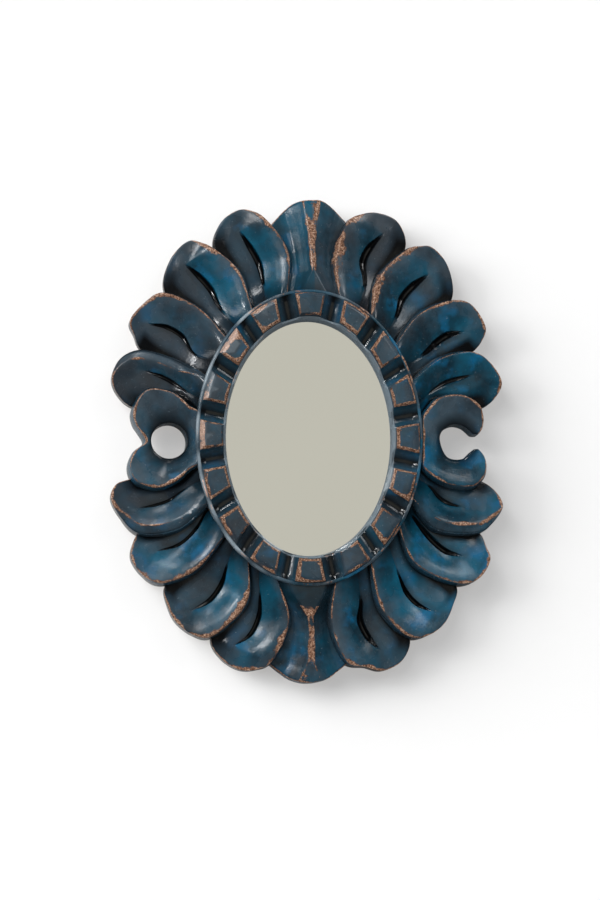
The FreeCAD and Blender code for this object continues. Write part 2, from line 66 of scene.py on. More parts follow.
def add_node(material, kind, name, settings=None, values=None, links=None, stops=()):
    """Adds one node with its settings, its input values, its links from other nodes and a ramp's stops."""
    tree = material.node_tree
    node = tree.nodes.new(kind)
    node.name = name
    for setting, value in (settings or {}).items():
        setattr(node, setting, value)
    for socket, value in (values or {}).items():
        node.inputs[socket].default_value = value
    for socket, (source, output) in (links or {}).items():
        tree.links.new(tree.nodes[source].outputs[output], node.inputs[socket])
    if stops:
        ramp = node.color_ramp.elements
        ramp.remove(ramp[1])
        ramp[0].position, ramp[0].color = stops[0][0], linear(stops[0][1])
        for place, colour in stops[1:]:
            ramp.new(place).color = linear(colour)


def surface(material, source):
    """Links a shader to the material's surface."""
    tree = material.node_tree
    tree.links.new(tree.nodes[source].outputs[0], tree.nodes["out"].inputs["Surface"])


def matt_wall_paint():
    """Matt emulsion: pure white to the eye where it is lit, with the mirror's soft shadow on it."""
    wall_paint = new_material("matt_wall_paint")
    add_node(wall_paint, "ShaderNodeLightPath", "path")
    add_node(wall_paint, "ShaderNodeBsdfDiffuse", "paint", values={"Color": linear(WALL_PAINT)})
    add_node(wall_paint, "ShaderNodeMath", "lift", {"operation": "MULTIPLY"}, {1: WALL_LIFT},
             {0: ("path", "Is Camera Ray")})
    add_node(wall_paint, "ShaderNodeEmission", "glow", links={"Strength": ("lift", 0)})
    add_node(wall_paint, "ShaderNodeAddShader", "lit", links={0: ("paint", 0), 1: ("glow", 0)})
    add_node(wall_paint, "ShaderNodeBsdfTransparent", "clear")
    add_node(wall_paint, "ShaderNodeNewGeometry", "side")
    add_node(wall_paint, "ShaderNodeMixShader", "sides",
             links={0: ("side", "Backfacing"), 1: ("lit", 0), 2: ("clear", 0)})
    surface(wall_paint, "sides")
    return wall_paint


bpy.ops.mesh.primitive_plane_add(size=WALL_SIZE, location=(0, WALL_GAP, 0),
                                 rotation=(math.radians(90), 0, 0))
bpy.ops.object.transform_apply(location=True, rotation=True, scale=True)
wall = bpy.context.object
wall.name = "wall"
wall.data.materials.append(matt_wall_paint())
wall.visible_shadow = False


# The camera
# It stands a little to the left of the mirror and a little below its middle, with a long lens. FILM_HEIGHT
# is the height in metres that the picture takes in at the mirror.
CAMERA_AZIMUTH = math.radians(-6.9)
CAMERA_RISE = math.radians(-7.5)
LENS = 135.0
SENSOR = 36.0
PICTURE = (600, 900)
FILM_HEIGHT = 0.7416
AIM = Vector((-8.25 * MM, -33.0 * MM, -11.2 * MM))

camera_back = Vector((
    math.sin(CAMERA_AZIMUTH) * math.cos(CAMERA_RISE),
    -math.cos(CAMERA_AZIMUTH) * math.cos(CAMERA_RISE),
    math.sin(CAMERA_RISE),
))
bpy.ops.object.camera_add()
camera = bpy.context.object
camera.data.lens = LENS
camera.data.sensor_width = SENSOR
camera.data.sensor_fit = "AUTO"
camera.location = AIM + camera_back * (FILM_HEIGHT * LENS / SENSOR)
camera.rotation_mode = "QUATERNION"
camera.rotation_quaternion = (-camera_back).to_track_quat("-Z", "Y")
camera_right = camera.rotation_quaternion @ Vector((1, 0, 0))
camera_up = camera.rotation_quaternion @ Vector((0, 1, 0))
bpy.context.scene.camera = camera


# The light
# Two windows on the left and a far one on the right light the mirror softly. Glint, pane and skylight show
# only in its gloss, the two low lamps reach only the wall, and the last two light the mirror's back.
ROOM_LEVEL = 0.5
ROOM_IN_GLOSS = "#4c4e51"
# The pale card that the glass reflects: which way it lies, and the cosines where it begins and is full
CARD_IN_GLOSS = "#cac8bc"
CARD_WAY = (0.12, -0.984, 0.13)
CARD_EDGE, CARD_FULL = 0.93, 0.975
WHITE = "#ffffff"
# Each lamp's way from the mirror, spread in degrees and strength, and whether matt and gloss see it
SUNS = {
    "window": ((-0.42, -0.78, 0.46), 30.0, 1.45, True, False),
    "side_window": ((-0.86, -0.44, 0.25), 40.0, 0.5, True, False),
    "glint": ((-0.58, -0.72, 0.38), 5.0, 1.0, False, True),
    "pane": ((-0.80, -0.50, 0.33), 12.0, 0.22, False, True),
    "skylight": ((-0.25, -0.59, 0.76), 7.0, 0.5, False, True),
    "far_window": ((0.50, -0.62, 0.60), 18.0, 0.55, True, True),
    "low_left": ((-0.93, -0.27, 0.25), 30.0, 9.3, True, False),
    "low_above": ((-0.70, -0.42, 0.58), 40.0, 5.7, True, False),
    "behind_left": ((-0.6, 0.7, 0.4), 30.0, 1.6, True, True),
    "behind_right": ((0.7, 0.7, 0.1), 30.0, 0.8, True, True),
}
WALL_LAMPS = ("low_left", "low_above")

wall_only = bpy.data.collections.new("wall_only")
wall_only.objects.link(wall)
for name, (way, spread, strength, matt, gloss) in SUNS.items():
    bpy.ops.object.light_add(type="SUN", location=way)
    lamp = bpy.context.object
    lamp.name = name
    lamp.data.angle = math.radians(spread)
    lamp.data.energy = strength
    lamp.visible_diffuse, lamp.visible_glossy = matt, gloss
    if name in WALL_LAMPS:
        lamp.light_linking.receiver_collection = wall_only
    lamp.rotation_mode = "QUATERNION"
    lamp.rotation_quaternion = (-Vector(way)).to_track_quat("-Z", "Y")

world = bpy.data.worlds.new("room")
bpy.context.scene.world = world
world.use_nodes = True
world.node_tree.nodes.clear()
add_node(world, "ShaderNodeOutputWorld", "out")
add_node(world, "ShaderNodeLightPath", "path")
add_node(world, "ShaderNodeTexCoord", "way")
add_node(world, "ShaderNodeVectorMath", "towards", {"operation": "DOT_PRODUCT"}, {1: CARD_WAY},
         {0: ("way", "Generated")})
add_node(world, "ShaderNodeMapRange", "card", {"interpolation_type": "SMOOTHSTEP"},
         {"From Min": CARD_EDGE, "From Max": CARD_FULL}, {"Value": ("towards", "Value")})
add_node(world, "ShaderNodeMix", "tones", {"data_type": "RGBA"},
         {"A": linear(ROOM_IN_GLOSS), "B": linear(CARD_IN_GLOSS)}, {"Factor": ("card", 0)})
add_node(world, "ShaderNodeBackground", "level", values={"Color": linear(WHITE), "Strength": ROOM_LEVEL})
add_node(world, "ShaderNodeBackground", "gloss", links={"Color": ("tones", "Result")})
add_node(world, "ShaderNodeBackground", "white", values={"Color": linear(WHITE), "Strength": 1.0})
add_node(world, "ShaderNodeMixShader", "glossy",
         links={0: ("path", "Is Glossy Ray"), 1: ("level", 0), 2: ("gloss", 0)})
add_node(world, "ShaderNodeMixShader", "seen",
         links={0: ("path", "Is Camera Ray"), 1: ("glossy", 0), 2: ("white", 0)})
surface(world, "seen")
bpy.context.scene.view_settings.view_transform = "Standard"


# The inner frame and its tongues
# An oval hoop of limewood that the four carved blocks are glued round, with a rebate for the glass, and a
# loose tongue in a groove across each of the blocks' glue joints. All of it is left unpainted.
def bare_wood():
    """Unpainted limewood, browned with age: streaks about 4 mm wide and 40 mm long run up and down it."""
    limewood = new_material("bare_limewood")
    add_node(limewood, "ShaderNodeTexCoord", "place")
    add_node(limewood, "ShaderNodeMapping", "grain", values={"Scale": (60.0, 60.0, 6.0)},
             links={"Vector": ("place", "Object")})
    add_node(limewood, "ShaderNodeTexNoise", "figure",
             values={"Scale": 4.0, "Detail": 6.0, "Roughness": 0.6, "Distortion": 0.4},
             links={"Vector": ("grain", 0)})
    add_node(limewood, "ShaderNodeValToRGB", "browns", links={"Fac": ("figure", "Fac")},
             stops=((0.3, "#7d6040"), (0.7, "#a88a60")))
    add_node(limewood, "ShaderNodeBump", "bump", values={"Strength": 0.3, "Distance": 0.3 * MM},
             links={"Height": ("figure", "Fac")})
    add_node(limewood, "ShaderNodeBsdfPrincipled", "skin", values={"Roughness": 0.68},
             links={"Base Color": ("browns", "Color"), "Normal": ("bump", 0)})
    surface(limewood, "skin")
    return limewood


def finish_nodes(nodes, finish):
    """Gives the named CAD nodes their finish."""
    for node in nodes:
        solid = bpy.data.objects[node]
        solid.data.materials.clear()
        solid.data.materials.append(finish)


wood = bare_wood()
finish_nodes(("inner_frame", "tongue_upper_right", "tongue_upper_left", "tongue_lower_left",
              "tongue_lower_right"), wood)


# The mirror glass
# An oval of flat glass, silvered behind, which lies in the rebate of the inner frame.
# It shows what it reflects almost unchanged, very slightly clouded.
def silvered_glass():
    """Mirror glass, silvered behind: a clear reflection with a faint cloud about 170 mm wide."""
    mirror = new_material("silvered_glass")
    add_node(mirror, "ShaderNodeTexCoord", "place")
    add_node(mirror, "ShaderNodeTexNoise", "cloud", values={"Scale": 6.0, "Detail": 2.0},
             links={"Vector": ("place", "Object")})
    add_node(mirror, "ShaderNodeValToRGB", "tints", links={"Fac": ("cloud", "Fac")},
             stops=((0.0, "#eeeeec"), (1.0, "#f3f3f1")))
    add_node(mirror, "ShaderNodeBsdfPrincipled", "skin", values={"Metallic": 1.0, "Roughness": 0.03},
             links={"Base Color": ("tints", "Color")})
    surface(mirror, "skin")
    return mirror


finish_nodes(("mirror_glass",), silvered_glass())


# The packing sheet and the backing board
# A sheet of grey card keeps the silvering from the board, and a board of brown pressed fibre closes the
# back. Both are cut to the rebate's oval and lie loose in it.
def mottled(name, dark, light, metallic, roughness, per_metre):
    """A plain finish with a faint mottle, which has so many spots to the metre."""
    finish = new_material(name)
    add_node(finish, "ShaderNodeTexCoord", "place")
    add_node(finish, "ShaderNodeTexNoise", "mottle", values={"Scale": per_metre, "Detail": 4.0},
             links={"Vector": ("place", "Object")})
    add_node(finish, "ShaderNodeValToRGB", "tones", links={"Fac": ("mottle", "Fac")},
             stops=((0.35, dark), (0.65, light)))
    add_node(finish, "ShaderNodeBsdfPrincipled", "skin",
             values={"Metallic": metallic, "Roughness": roughness}, links={"Base Color": ("tones", "Color")})
    surface(finish, "skin")
    return finish


# The card is matt and even, with a cloud about 17 mm wide. The board is smoother and flecked every 2 mm.
finish_nodes(("packing_sheet",), mottled("grey_card", "#8d8a83", "#a19d94", 0.0, 0.9, 60.0))
finish_nodes(("backing_board",), mottled("brown_hardboard", "#4e3826", "#654a33", 0.0, 0.6, 500.0))


# The turn buttons
# Four buttons cut from brass strip, each free to turn on its screw, hold the board in.
# The brass has dulled: its shine is soft, with browner patches about 11 mm wide.
finish_nodes(("turn_button_top", "turn_button_right", "turn_button_bottom", "turn_button_left",
              "button_screws"), mottled("dulled_brass", "#86692f", "#b8964f", 1.0, 0.38, 90.0))


# The hanger
# A steel strap, its D-ring and two screws, in a pocket behind the top block.
# The zinc plating is pale grey with a soft shine, clouded every 8 mm.
finish_nodes(("hanger_strap", "hanger_ring", "hanger_screws"),
             mottled("zinc_plated_steel", "#8f9294", "#b9bcbe", 1.0, 0.32, 120.0))


# The petals
# Sixteen comma-shaped petals carved in limewood, eight on each side. Each has a crest along the side
# towards the end lobe, which bends round into the tip, a slit up its middle, and its other side tucked
# under the next petal. They are painted glossy blue, and the crests are rubbed through.

# The ring's outer edge, how far the petals run under it and under each other, the height of what shows of
# a wall's foot, and how fast that comes into view where the outline turns to the camera
RING_HALF_WIDTH = 94.4 * MM
RING_HALF_HEIGHT = 123.6 * MM
UNDER_RING = 2.5 * MM
TUCK_UNDER = 7.0 * MM
FOOT_HEIGHT = 3.0 * MM
FOOT_TURN = 0.9
# Carvings that overlap on the flat back lie a hair apart there
BACK_STEP = 0.05 * MM
SEAM_GAP = 0.01 * MM
# Keeps a division by a length or a share from failing
TINY = 1e-6
# A petal's columns in all and along each side up to the turn at its tip, and a line's steps between points
ALONG = 128
SIDE_COLUMNS = 52
LINE_STEPS = 24

# Heights from the ring out: along the crest (root, bow, end, shoulder, tip, back, valley), then the
# hidden side from its bow to its root, then the slit's line from the ring out
CREST_HEIGHTS = [height * MM for height in (31.0, 26.5, 21.5, 18.0, 15.0, 12.5, 10.5)]
HIDDEN_HEIGHTS = [height * MM for height in (15.5, 23.0)]
SLIT_HEIGHTS = [height * MM for height in (27.5, 19.0, 15.5, 14.5, 15.0)]
# The first three points of an edge lie on the crest and the others on the outline
CREST_POINTS = 3
# The flank swells towards the ring, over this share of the slit's line, and is full this share of the way
# from the edge to the slit
ROOT_RISE = 2.6 * MM
ROOT_SHARE = 0.24
ROOT_FULL_SHARE = 0.3
# The wall under the crest flares this far out, from this far below the crest, and its rows by these shares
FLARE = 3.0 * MM
FLARE_DROP = 8.0 * MM
FLARE_SHARES = (1.0, 1.0, 0.4)
# How much of the flare is left at the crest's end, and of the crest's inset at the shoulder
END_FLARE, SHOULDER_INSET = 0.5, 0.7

# What is noted at each point for the paint: how near a rubbed edge it is, from 0 on the edge to 1 where
# paint begins;
# how much grime and painted shade it has; its dusk, a darker tone that is also painted shade on the petals;
# and its slate grey, which above 1.2 turns pale, in places as painted highlight
NOTES = ("worn", "grime", "dusk", "slate")
UNWORN = 9.0
# How much of the worn widths below is rubbed right through, and the width worn in the valley, in mm
WORN_THROUGH = 0.8
VALLEY_WORN = (0.2,)
# The slate grey of what has no tone of its own
USUAL_SLATE = 0.3

# Each petal from the end lobe towards the scroll, in pixels of the photograph: the edge at root, bow, end,
# shoulder, tip, back and valley; the slit from the ring out; and how wide the crest is worn, in mm, at
# root, bow, end, tip and back. Then the paint's tones, with the strength of its dusk and painted shade and
# a flat darkening over the whole petal, how far in the crest lies, and the slit's width and depth where
# they aren't the usual ones.
PETALS = {
    "upper_left": [
        {"edge": ((287, 292), (288, 252), (264, 217), (253, 211), (240, 209.5), (222, 221), (213, 245)),
         "slit": ((263, 282), (259, 264), (250, 247), (240, 232)), "worn": (0.3, 3.4, 4.0, 1.2, 0.3),
         "dusk": 1.0, "slate": -0.25, "slit_width": 1.3},
        {"edge": ((252, 309), (238, 270), (211, 246.5), (202, 243), (189, 241), (170, 260), (164, 291)),
         "slit": ((220, 308), (211, 290), (199, 276), (186, 265)), "worn": (0.5, 3.0, 4.2, 1.4, 0.3),
         "dusk": 1.0, "slate": 0.2, "slit_width": 1.3},
        {"edge": ((226, 337), (200, 309), (161, 292.5), (143, 305), (129, 323), (134, 337), (139, 349)),
         "slit": ((194, 354), (183, 337), (167, 327), (149, 324)), "worn": (0.8, 1.6, 3.6, 1.4, 0.3),
         "dusk": 1.0, "shade": 0.5, "slate": 0.7},
        {"edge": ((204, 375), (178, 361), (139, 350), (119, 361), (111, 380), (117, 396), (133, 409)),
         "slit": ((184, 390), (174, 383), (163, 377), (146, 371)), "worn": (0.3, 0.6, 1.8, 1.6, 0.2),
         "dusk": 0.9, "shade": 0.45, "slate": 0.75, "crest_inset": 8.0, "slit_depth": 1.6},
    ],
    "upper_right": [
        {"edge": ((341, 293), (335.5, 258), (350, 219.5), (362, 214), (376, 212.5), (397, 221), (406, 245)),
         "slit": ((365, 283), (363, 262), (370, 247), (383, 234)), "worn": (0.8, 9.0, 7.0, 1.2, 0.5),
         "dusk": 1.0, "slate": 0.65, "slit_width": 1.6},
        {"edge": ((374, 312), (379, 278), (411, 247.5), (420, 246), (431, 246.5), (447, 264), (452, 299)),
         "slit": ((397, 315), (402, 299), (414, 285), (428, 275)), "worn": (0.8, 8.0, 6.0, 1.5, 1.0),
         "dusk": 0.5, "slate": 0.5, "slit_width": 1.6},
        {"edge": ((400, 340), (420, 314), (455, 300), (471, 304), (486, 328), (483, 339), (474, 351)),
         "slit": ((425, 353), (436, 343), (448, 335), (463, 332)), "worn": (0.6, 1.2, 3.0, 2.5, 1.2),
         "dusk": 0.3, "slate": 0.35, "slit_width": 1.5},
        {"edge": ((418, 378), (442, 358), (474, 352), (490, 362), (502, 382), (498, 394), (484, 407)),
         "slit": ((432, 391), (444, 383), (456, 379), (472, 375)), "worn": (0.2, 0.3, 0.5, 3.0, 2.0),
         "dusk": 0.0, "slate": -0.4, "slit_depth": 0.8},
    ],
    "lower_right": [
        {"edge": ((337, 586), (332, 622), (349, 662.5), (364, 668), (380, 671.5), (400, 662), (409, 640)),
         "slit": ((361, 602), (360, 620), (368, 637), (379, 649)), "worn": (1.0, 2.5, 3.0, 2.0, 0.5),
         "dusk": 0.5, "slate": 0.35, "slit_width": 1.4},
        {"edge": ((373, 565), (383, 609), (411, 636.5), (427, 636), (443, 624), (452, 606), (456, 587)),
         "slit": ((400, 578), (406, 592), (417, 604), (431, 611)), "worn": (0.8, 3.0, 2.0, 0.8, 0.3),
         "dusk": 0.15, "slate": 0.3},
        {"edge": ((400, 527), (415, 562), (460, 583), (478, 579), (490, 559), (486, 547), (479, 533)),
         "slit": ((413, 517), (428, 536), (445, 551), (462, 556)), "worn": (1.0, 1.5, 2.5, 3.0, 1.5),
         "dusk": 0.15, "slate": 0.0, "slit_width": 1.3},
        {"edge": ((413, 498), (435, 527), (480, 531), (493, 523), (503, 506), (497, 493), (483, 482)),
         "slit": ((430, 487), (438, 497), (447, 503), (461, 507)), "worn": (0.3, 0.3, 2.5, 3.0, 1.0),
         "dusk": 0.3, "slate": 0.3, "crest_inset": 8.0, "slit_depth": 1.2},
    ],
    "lower_left": [
        {"edge": ((275, 582), (289, 620), (270, 663), (257, 670), (240, 671), (221, 660), (210, 640)),
         "slit": ((260, 598), (259, 616), (250, 635), (235, 645)), "worn": (0.5, 4.0, 5.5, 3.5, 1.0),
         "dusk": 0.9, "slate": 0.1},
        {"edge": ((247, 561), (247, 600), (210, 636.5), (192, 636), (175, 623), (167, 607), (164, 588)),
         "slit": ((226, 569), (222, 583), (210, 600), (193, 610)), "worn": (0.3, 4.0, 4.5, 3.0, 2.0),
         "dusk": 0.7, "slate": 0.3},
        {"edge": ((219, 541), (196, 569), (160, 582.5), (142, 577), (130, 559), (132, 545), (139, 533)),
         "slit": ((208, 510), (197, 528), (180, 544), (158, 551)), "worn": (0.5, 3.0, 4.0, 4.0, 3.0),
         "dusk": 0.6, "shade": 0.2, "slate": 0.15, "slit_width": 0.7},
        {"edge": ((207, 503), (178, 528), (139, 532), (120, 519), (110, 499), (115, 486), (131, 480)),
         "slit": ((182, 491), (170, 500), (156, 505), (140, 508)), "worn": (0.2, 0.3, 2.0, 2.5, 1.5),
         "dusk": 1.0, "shade": 0.5, "slate": 0.4, "crest_inset": 7.0, "slit_width": 0.6, "slit_depth": 1.2},
    ],
}
# The first two points of each scroll half's crest, which the last petals tuck under
SCROLL_CRESTS = {
    "upper_left": ((200, 414), (178, 394)),
    "upper_right": ((422, 420), (438, 400)),
    "lower_right": ((424, 466), (441, 480)),
    "lower_left": ((198, 463), (178, 481)),
}


def photo_point(pixel, height):
    """Where what the photograph shows at a pixel is, for its height above the frame's flat back."""
    per_pixel = FILM_HEIGHT / PICTURE[1]
    across = (pixel[0] - PICTURE[0] / 2) * per_pixel
    up = (PICTURE[1] / 2 - pixel[1]) * per_pixel
    way = AIM + camera_right * across + camera_up * up - camera.location
    return camera.location + way * ((-height - camera.location.y) / way.y)


def outer_point(pixel, height):
    """The same on the outline, where a side turned to the camera shows the wall's foot below its crest."""
    crest = photo_point(pixel, height)
    lean = (crest.x * camera_back.x + crest.z * camera_back.z) / math.hypot(camera_back.x, camera_back.z)
    toward = ease(0.5 + FOOT_TURN * lean / math.hypot(crest.x, crest.z))
    foot = photo_point(pixel, FOOT_HEIGHT)
    place = crest.lerp(foot, toward)
    place.y = -height
    return place


def to_ring(point):
    """A point brought under the ring's outer edge along its own direction from the middle."""
    share = math.hypot(point.x / (RING_HALF_WIDTH - UNDER_RING), point.z / (RING_HALF_HEIGHT - UNDER_RING))
    return Vector((point.x / share, point.y, point.z / share))


def smooth_line(points, count):
    """Points evenly spaced along a smooth line through the given ones, and where each given one comes."""
    padded = [points[0] * 2 - points[1], *points, points[-1] * 2 - points[-2]]
    fine = []
    for a, b, c, d in zip(padded, padded[1:], padded[2:], padded[3:]):
        t1 = (b - a).length ** 0.5
        t2 = t1 + (c - b).length ** 0.5
        t3 = t2 + (d - c).length ** 0.5
        for step in range(LINE_STEPS):
            t = t1 + (t2 - t1) * step / LINE_STEPS
            ab = a.lerp(b, t / t1)
            bc = b.lerp(c, (t - t1) / (t2 - t1))
            cd = c.lerp(d, (t - t2) / (t3 - t2))
            abc = ab.lerp(bc, t / t2)
            bcd = bc.lerp(cd, (t - t1) / (t3 - t1))
            fine.append(abc.lerp(bcd, (t - t1) / (t2 - t1)))
    fine.append(points[-1].copy())
    runs = [0.0]
    for before, after in zip(fine, fine[1:]):
        runs.append(runs[-1] + (after - before).length)
    even, place = [], 0
    for step in range(count + 1):
        target = runs[-1] * step / count
        while place < len(runs) - 2 and runs[place + 1] < target:
            place += 1
        share = (target - runs[place]) / max(runs[place + 1] - runs[place], TINY)
        even.append(fine[place].lerp(fine[place + 1], share))
    marks = [runs[number * LINE_STEPS] / runs[-1] for number in range(len(points))]
    return even, marks


def between(value, stops):
    """The value of a chain of (place, value) stops at a place."""
    for (low, first), (high, last) in zip(stops, stops[1:]):
        if value <= high:
            return first + (last - first) * max(0.0, value - low) / max(high - low, TINY)
    return stops[-1][1]


def point_at(line, place):
    """The point at a share of a line's length."""
    number = min(len(line) - 2, int(place * (len(line) - 1)))
    return line[number].lerp(line[number + 1], place * (len(line) - 1) - number)


def ease(value):
    """Runs from 0 to 1, slow at both ends, and keeps to them outside."""
    value = min(1.0, max(0.0, value))
    return value * value * (3 - 2 * value)


def slow_down(value, start=0.6):
    """Runs evenly from 0 and comes to rest at 1."""
    pace = 2 / (1 + start)
    if value < start:
        return pace * value
    return 1 - pace * (1 - value) ** 2 / (2 * (1 - start))


def tooled(place, depth, per_metre, distance):
    """The ripple that the gouge leaves, which dies out towards the edge."""
    return depth * noise.noise(place * per_metre) * min(1.0, distance / RIPPLE_EDGE)


def grid_piece(name, columns, rows, shape, slate=USUAL_SLATE):
    """A flat grid whose points are moved in turn to shape(column, row), with what that says of each."""
    bpy.ops.object.select_all(action="DESELECT")
    bpy.ops.mesh.primitive_grid_add(x_subdivisions=columns, y_subdivisions=rows, size=2)
    piece = bpy.context.object
    piece.name = piece.data.name = name
    for note in NOTES:
        piece.data.attributes.new(note, "FLOAT", "POINT")
    notes = {note: piece.data.attributes[note].data for note in NOTES}
    for vertex in piece.data.vertices:
        column = round((vertex.co.x + 1) / 2 * columns)
        row = round((vertex.co.y + 1) / 2 * rows)
        vertex.co, said = shape(column, row)
        notes["slate"][vertex.index].value = slate
        for note, value in said.items():
            notes[note][vertex.index].value = value
    return piece


def select_open_edges(piece, high_only):
    """Selects a piece's open edges, or only those above its back."""
    bpy.ops.mesh.select_all(action="DESELECT")
    form = bmesh.from_edit_mesh(piece.data)
    for edge in form.edges:
        high = any(vertex.co.y < -SEAM_GAP for vertex in edge.verts)
        if edge.is_boundary and (high or not high_only):
            edge.select_set(True)
    bmesh.update_edit_mesh(piece.data)


def merge_seams():
    """Merges all points that lie closer than the gap of a seam."""
    bpy.ops.mesh.select_all(action="SELECT")
    bpy.ops.mesh.remove_doubles(threshold=SEAM_GAP)


def close_at_back(piece, back_lift):
    """Merges the seam, drops the open edges to the back plane and fills them there, unworn."""
    bpy.context.view_layer.objects.active = piece
    bpy.ops.object.mode_set(mode="EDIT")
    merge_seams()
    select_open_edges(piece, True)
    bpy.ops.mesh.extrude_region_move()
    bpy.ops.transform.resize(value=(1, 0, 1), center_override=(0, 0, 0))
    merge_seams()
    select_open_edges(piece, False)
    bpy.ops.mesh.edge_face_add()
    bpy.ops.mesh.quads_convert_to_tris(quad_method="BEAUTY", ngon_method="BEAUTY")
    bpy.ops.mesh.select_all(action="SELECT")
    bpy.ops.mesh.normals_make_consistent(inside=False)
    bpy.ops.object.mode_set(mode="OBJECT")
    worn = piece.data.attributes["worn"].data
    for vertex in piece.data.vertices:
        if vertex.co.y > -SEAM_GAP:
            vertex.co.y = -back_lift
            worn[vertex.index].value = UNWORN


# Rows of a petal's grid, from the back up its wall, over the crest and in to the slit, in mm from them
WALL_ROWS = 3
CREST_ROWS_MM = (0.0, 0.35, 0.8, 1.5, 2.6)
INNER_ROWS = 12
GROOVE_ROWS_MM = (4.4, 2.3, 1.5, 0.7, 0.0)
PETAL_ROWS = WALL_ROWS + len(CREST_ROWS_MM) + INNER_ROWS + len(GROOVE_ROWS_MM)
# On a short run a crest or groove row takes at most this share of it per step
CREST_SHARE, GROOVE_SHARE = 0.04, 0.05


def row_place(row, span, opened):
    """How far in from the edge a row of the top lies, for the distance from edge to slit."""
    crest = [min(step * MM, span * CREST_SHARE * number) for number, step in enumerate(CREST_ROWS_MM)]
    groove = [span - min(step * MM * opened, span * GROOVE_SHARE * (len(GROOVE_ROWS_MM) - 1 - number))
              for number, step in enumerate(GROOVE_ROWS_MM)]
    if row < len(crest):
        return crest[row]
    row -= len(crest)
    if row < INNER_ROWS:
        return crest[-1] + (groove[0] - crest[-1]) * (row + 1) / (INNER_ROWS + 1)
    return groove[row - INNER_ROWS]


# How the height falls from the crest (0) to the slit (1), on the crest's side, round the tip, and from
# the hidden side to the slit
CREST_FALL = ((0.0, 1.0), (0.12, 0.975), (0.3, 0.85), (0.5, 0.6), (0.7, 0.3), (0.85, 0.12), (1.0, 0.0))
TIP_FALL = ((0.0, 1.0), (0.2, 0.9), (0.5, 0.5), (0.8, 0.12), (1.0, 0.0))
HIDDEN_FALL = ((0.0, 1.0), (0.3, 0.62), (0.6, 0.1), (0.85, -0.05), (1.0, 0.0))
# The crest's edge is rounded off by this much over this width
CREST_ROUND = 0.7 * MM
CREST_ROUND_WIDTH = 1.2 * MM
# Where the crest lies inside the edge, the rim outside it is this much lower, once it is this far in
RIM_DROP = 4.5 * MM
RIM_INSET = 5.0 * MM
LEAST_INSET = 0.5 * MM
# The V-tool's slit: its depth, half its width and the share of a short run that it takes at most, how
# narrow it starts, and how steep its sides are
SLIT_DEPTH_MM = 5.0
GROOVE_HALF = 2.3 * MM
GROOVE_MOST = 0.6
SLIT_START = 0.3
SLIT_STEEP = 1.9
# How far it is open: at its root, at this share of the way to its first point, at its first three points
# and at its last
SLIT_BEGINS = 0.7
SLIT_OPEN = (0.0, 0.05, 0.4, 1.0, 0.95, 0.05)
# The gouge's ripple and the width over which it dies out at an edge
PETAL_RIPPLE, RIPPLES_PER_METRE = 0.25 * MM, 90.0
RIPPLE_EDGE = 3 * MM
# How fast grime and painted shade fill the slit, with its depth and with how far it is open
SLIT_GRIME_AND_SHADE_STEEP, SLIT_GRIME_AND_SHADE_OPEN = 3, 2.5
# How far and how dark the grime and painted shade smear out of the slit onto the hidden side, and how fast
# with how far that is open
SMEAR, SMEAR_MOST, SMEAR_OPEN = 7.0 * MM, 0.7, 1.6
# How far the grime and painted shade under the next petal's crest reach past the hidden side, and over how
# many times the way from back to valley they come in
GRIME_AND_SHADE_REACH, HIDDEN_GRIME_AND_SHADE_RUN = 9.0 * MM, 1.3
# How dark the grime and painted shade are at the root by the ring, over what share of the slit's line, and
# how much of that is at the edge
ROOT_GRIME_AND_SHADE, ROOT_GRIME_AND_SHADE_SHARE, ROOT_GRIME_AND_SHADE_EDGE = 0.8, 0.45, 0.25
# Painted shade on the wall and along the crest's side. Further in, that side is lighter by this much,
# from this share of the way to the slit and over this share.
WALL_SHADE, NEAR_CREST_SHADE, NEAR_CREST_SHADE_SHARE = 0.7, 0.6, 0.45
INNER_LIGHT, INNER_LIGHT_FROM, INNER_LIGHT_OVER = 0.7, 0.35, 0.4
# How much slate that side gains towards its edge, and the share of the way in where the gain turns to loss
NEAR_SLATE, NEAR_SLATE_TURN = 1.1, 0.4


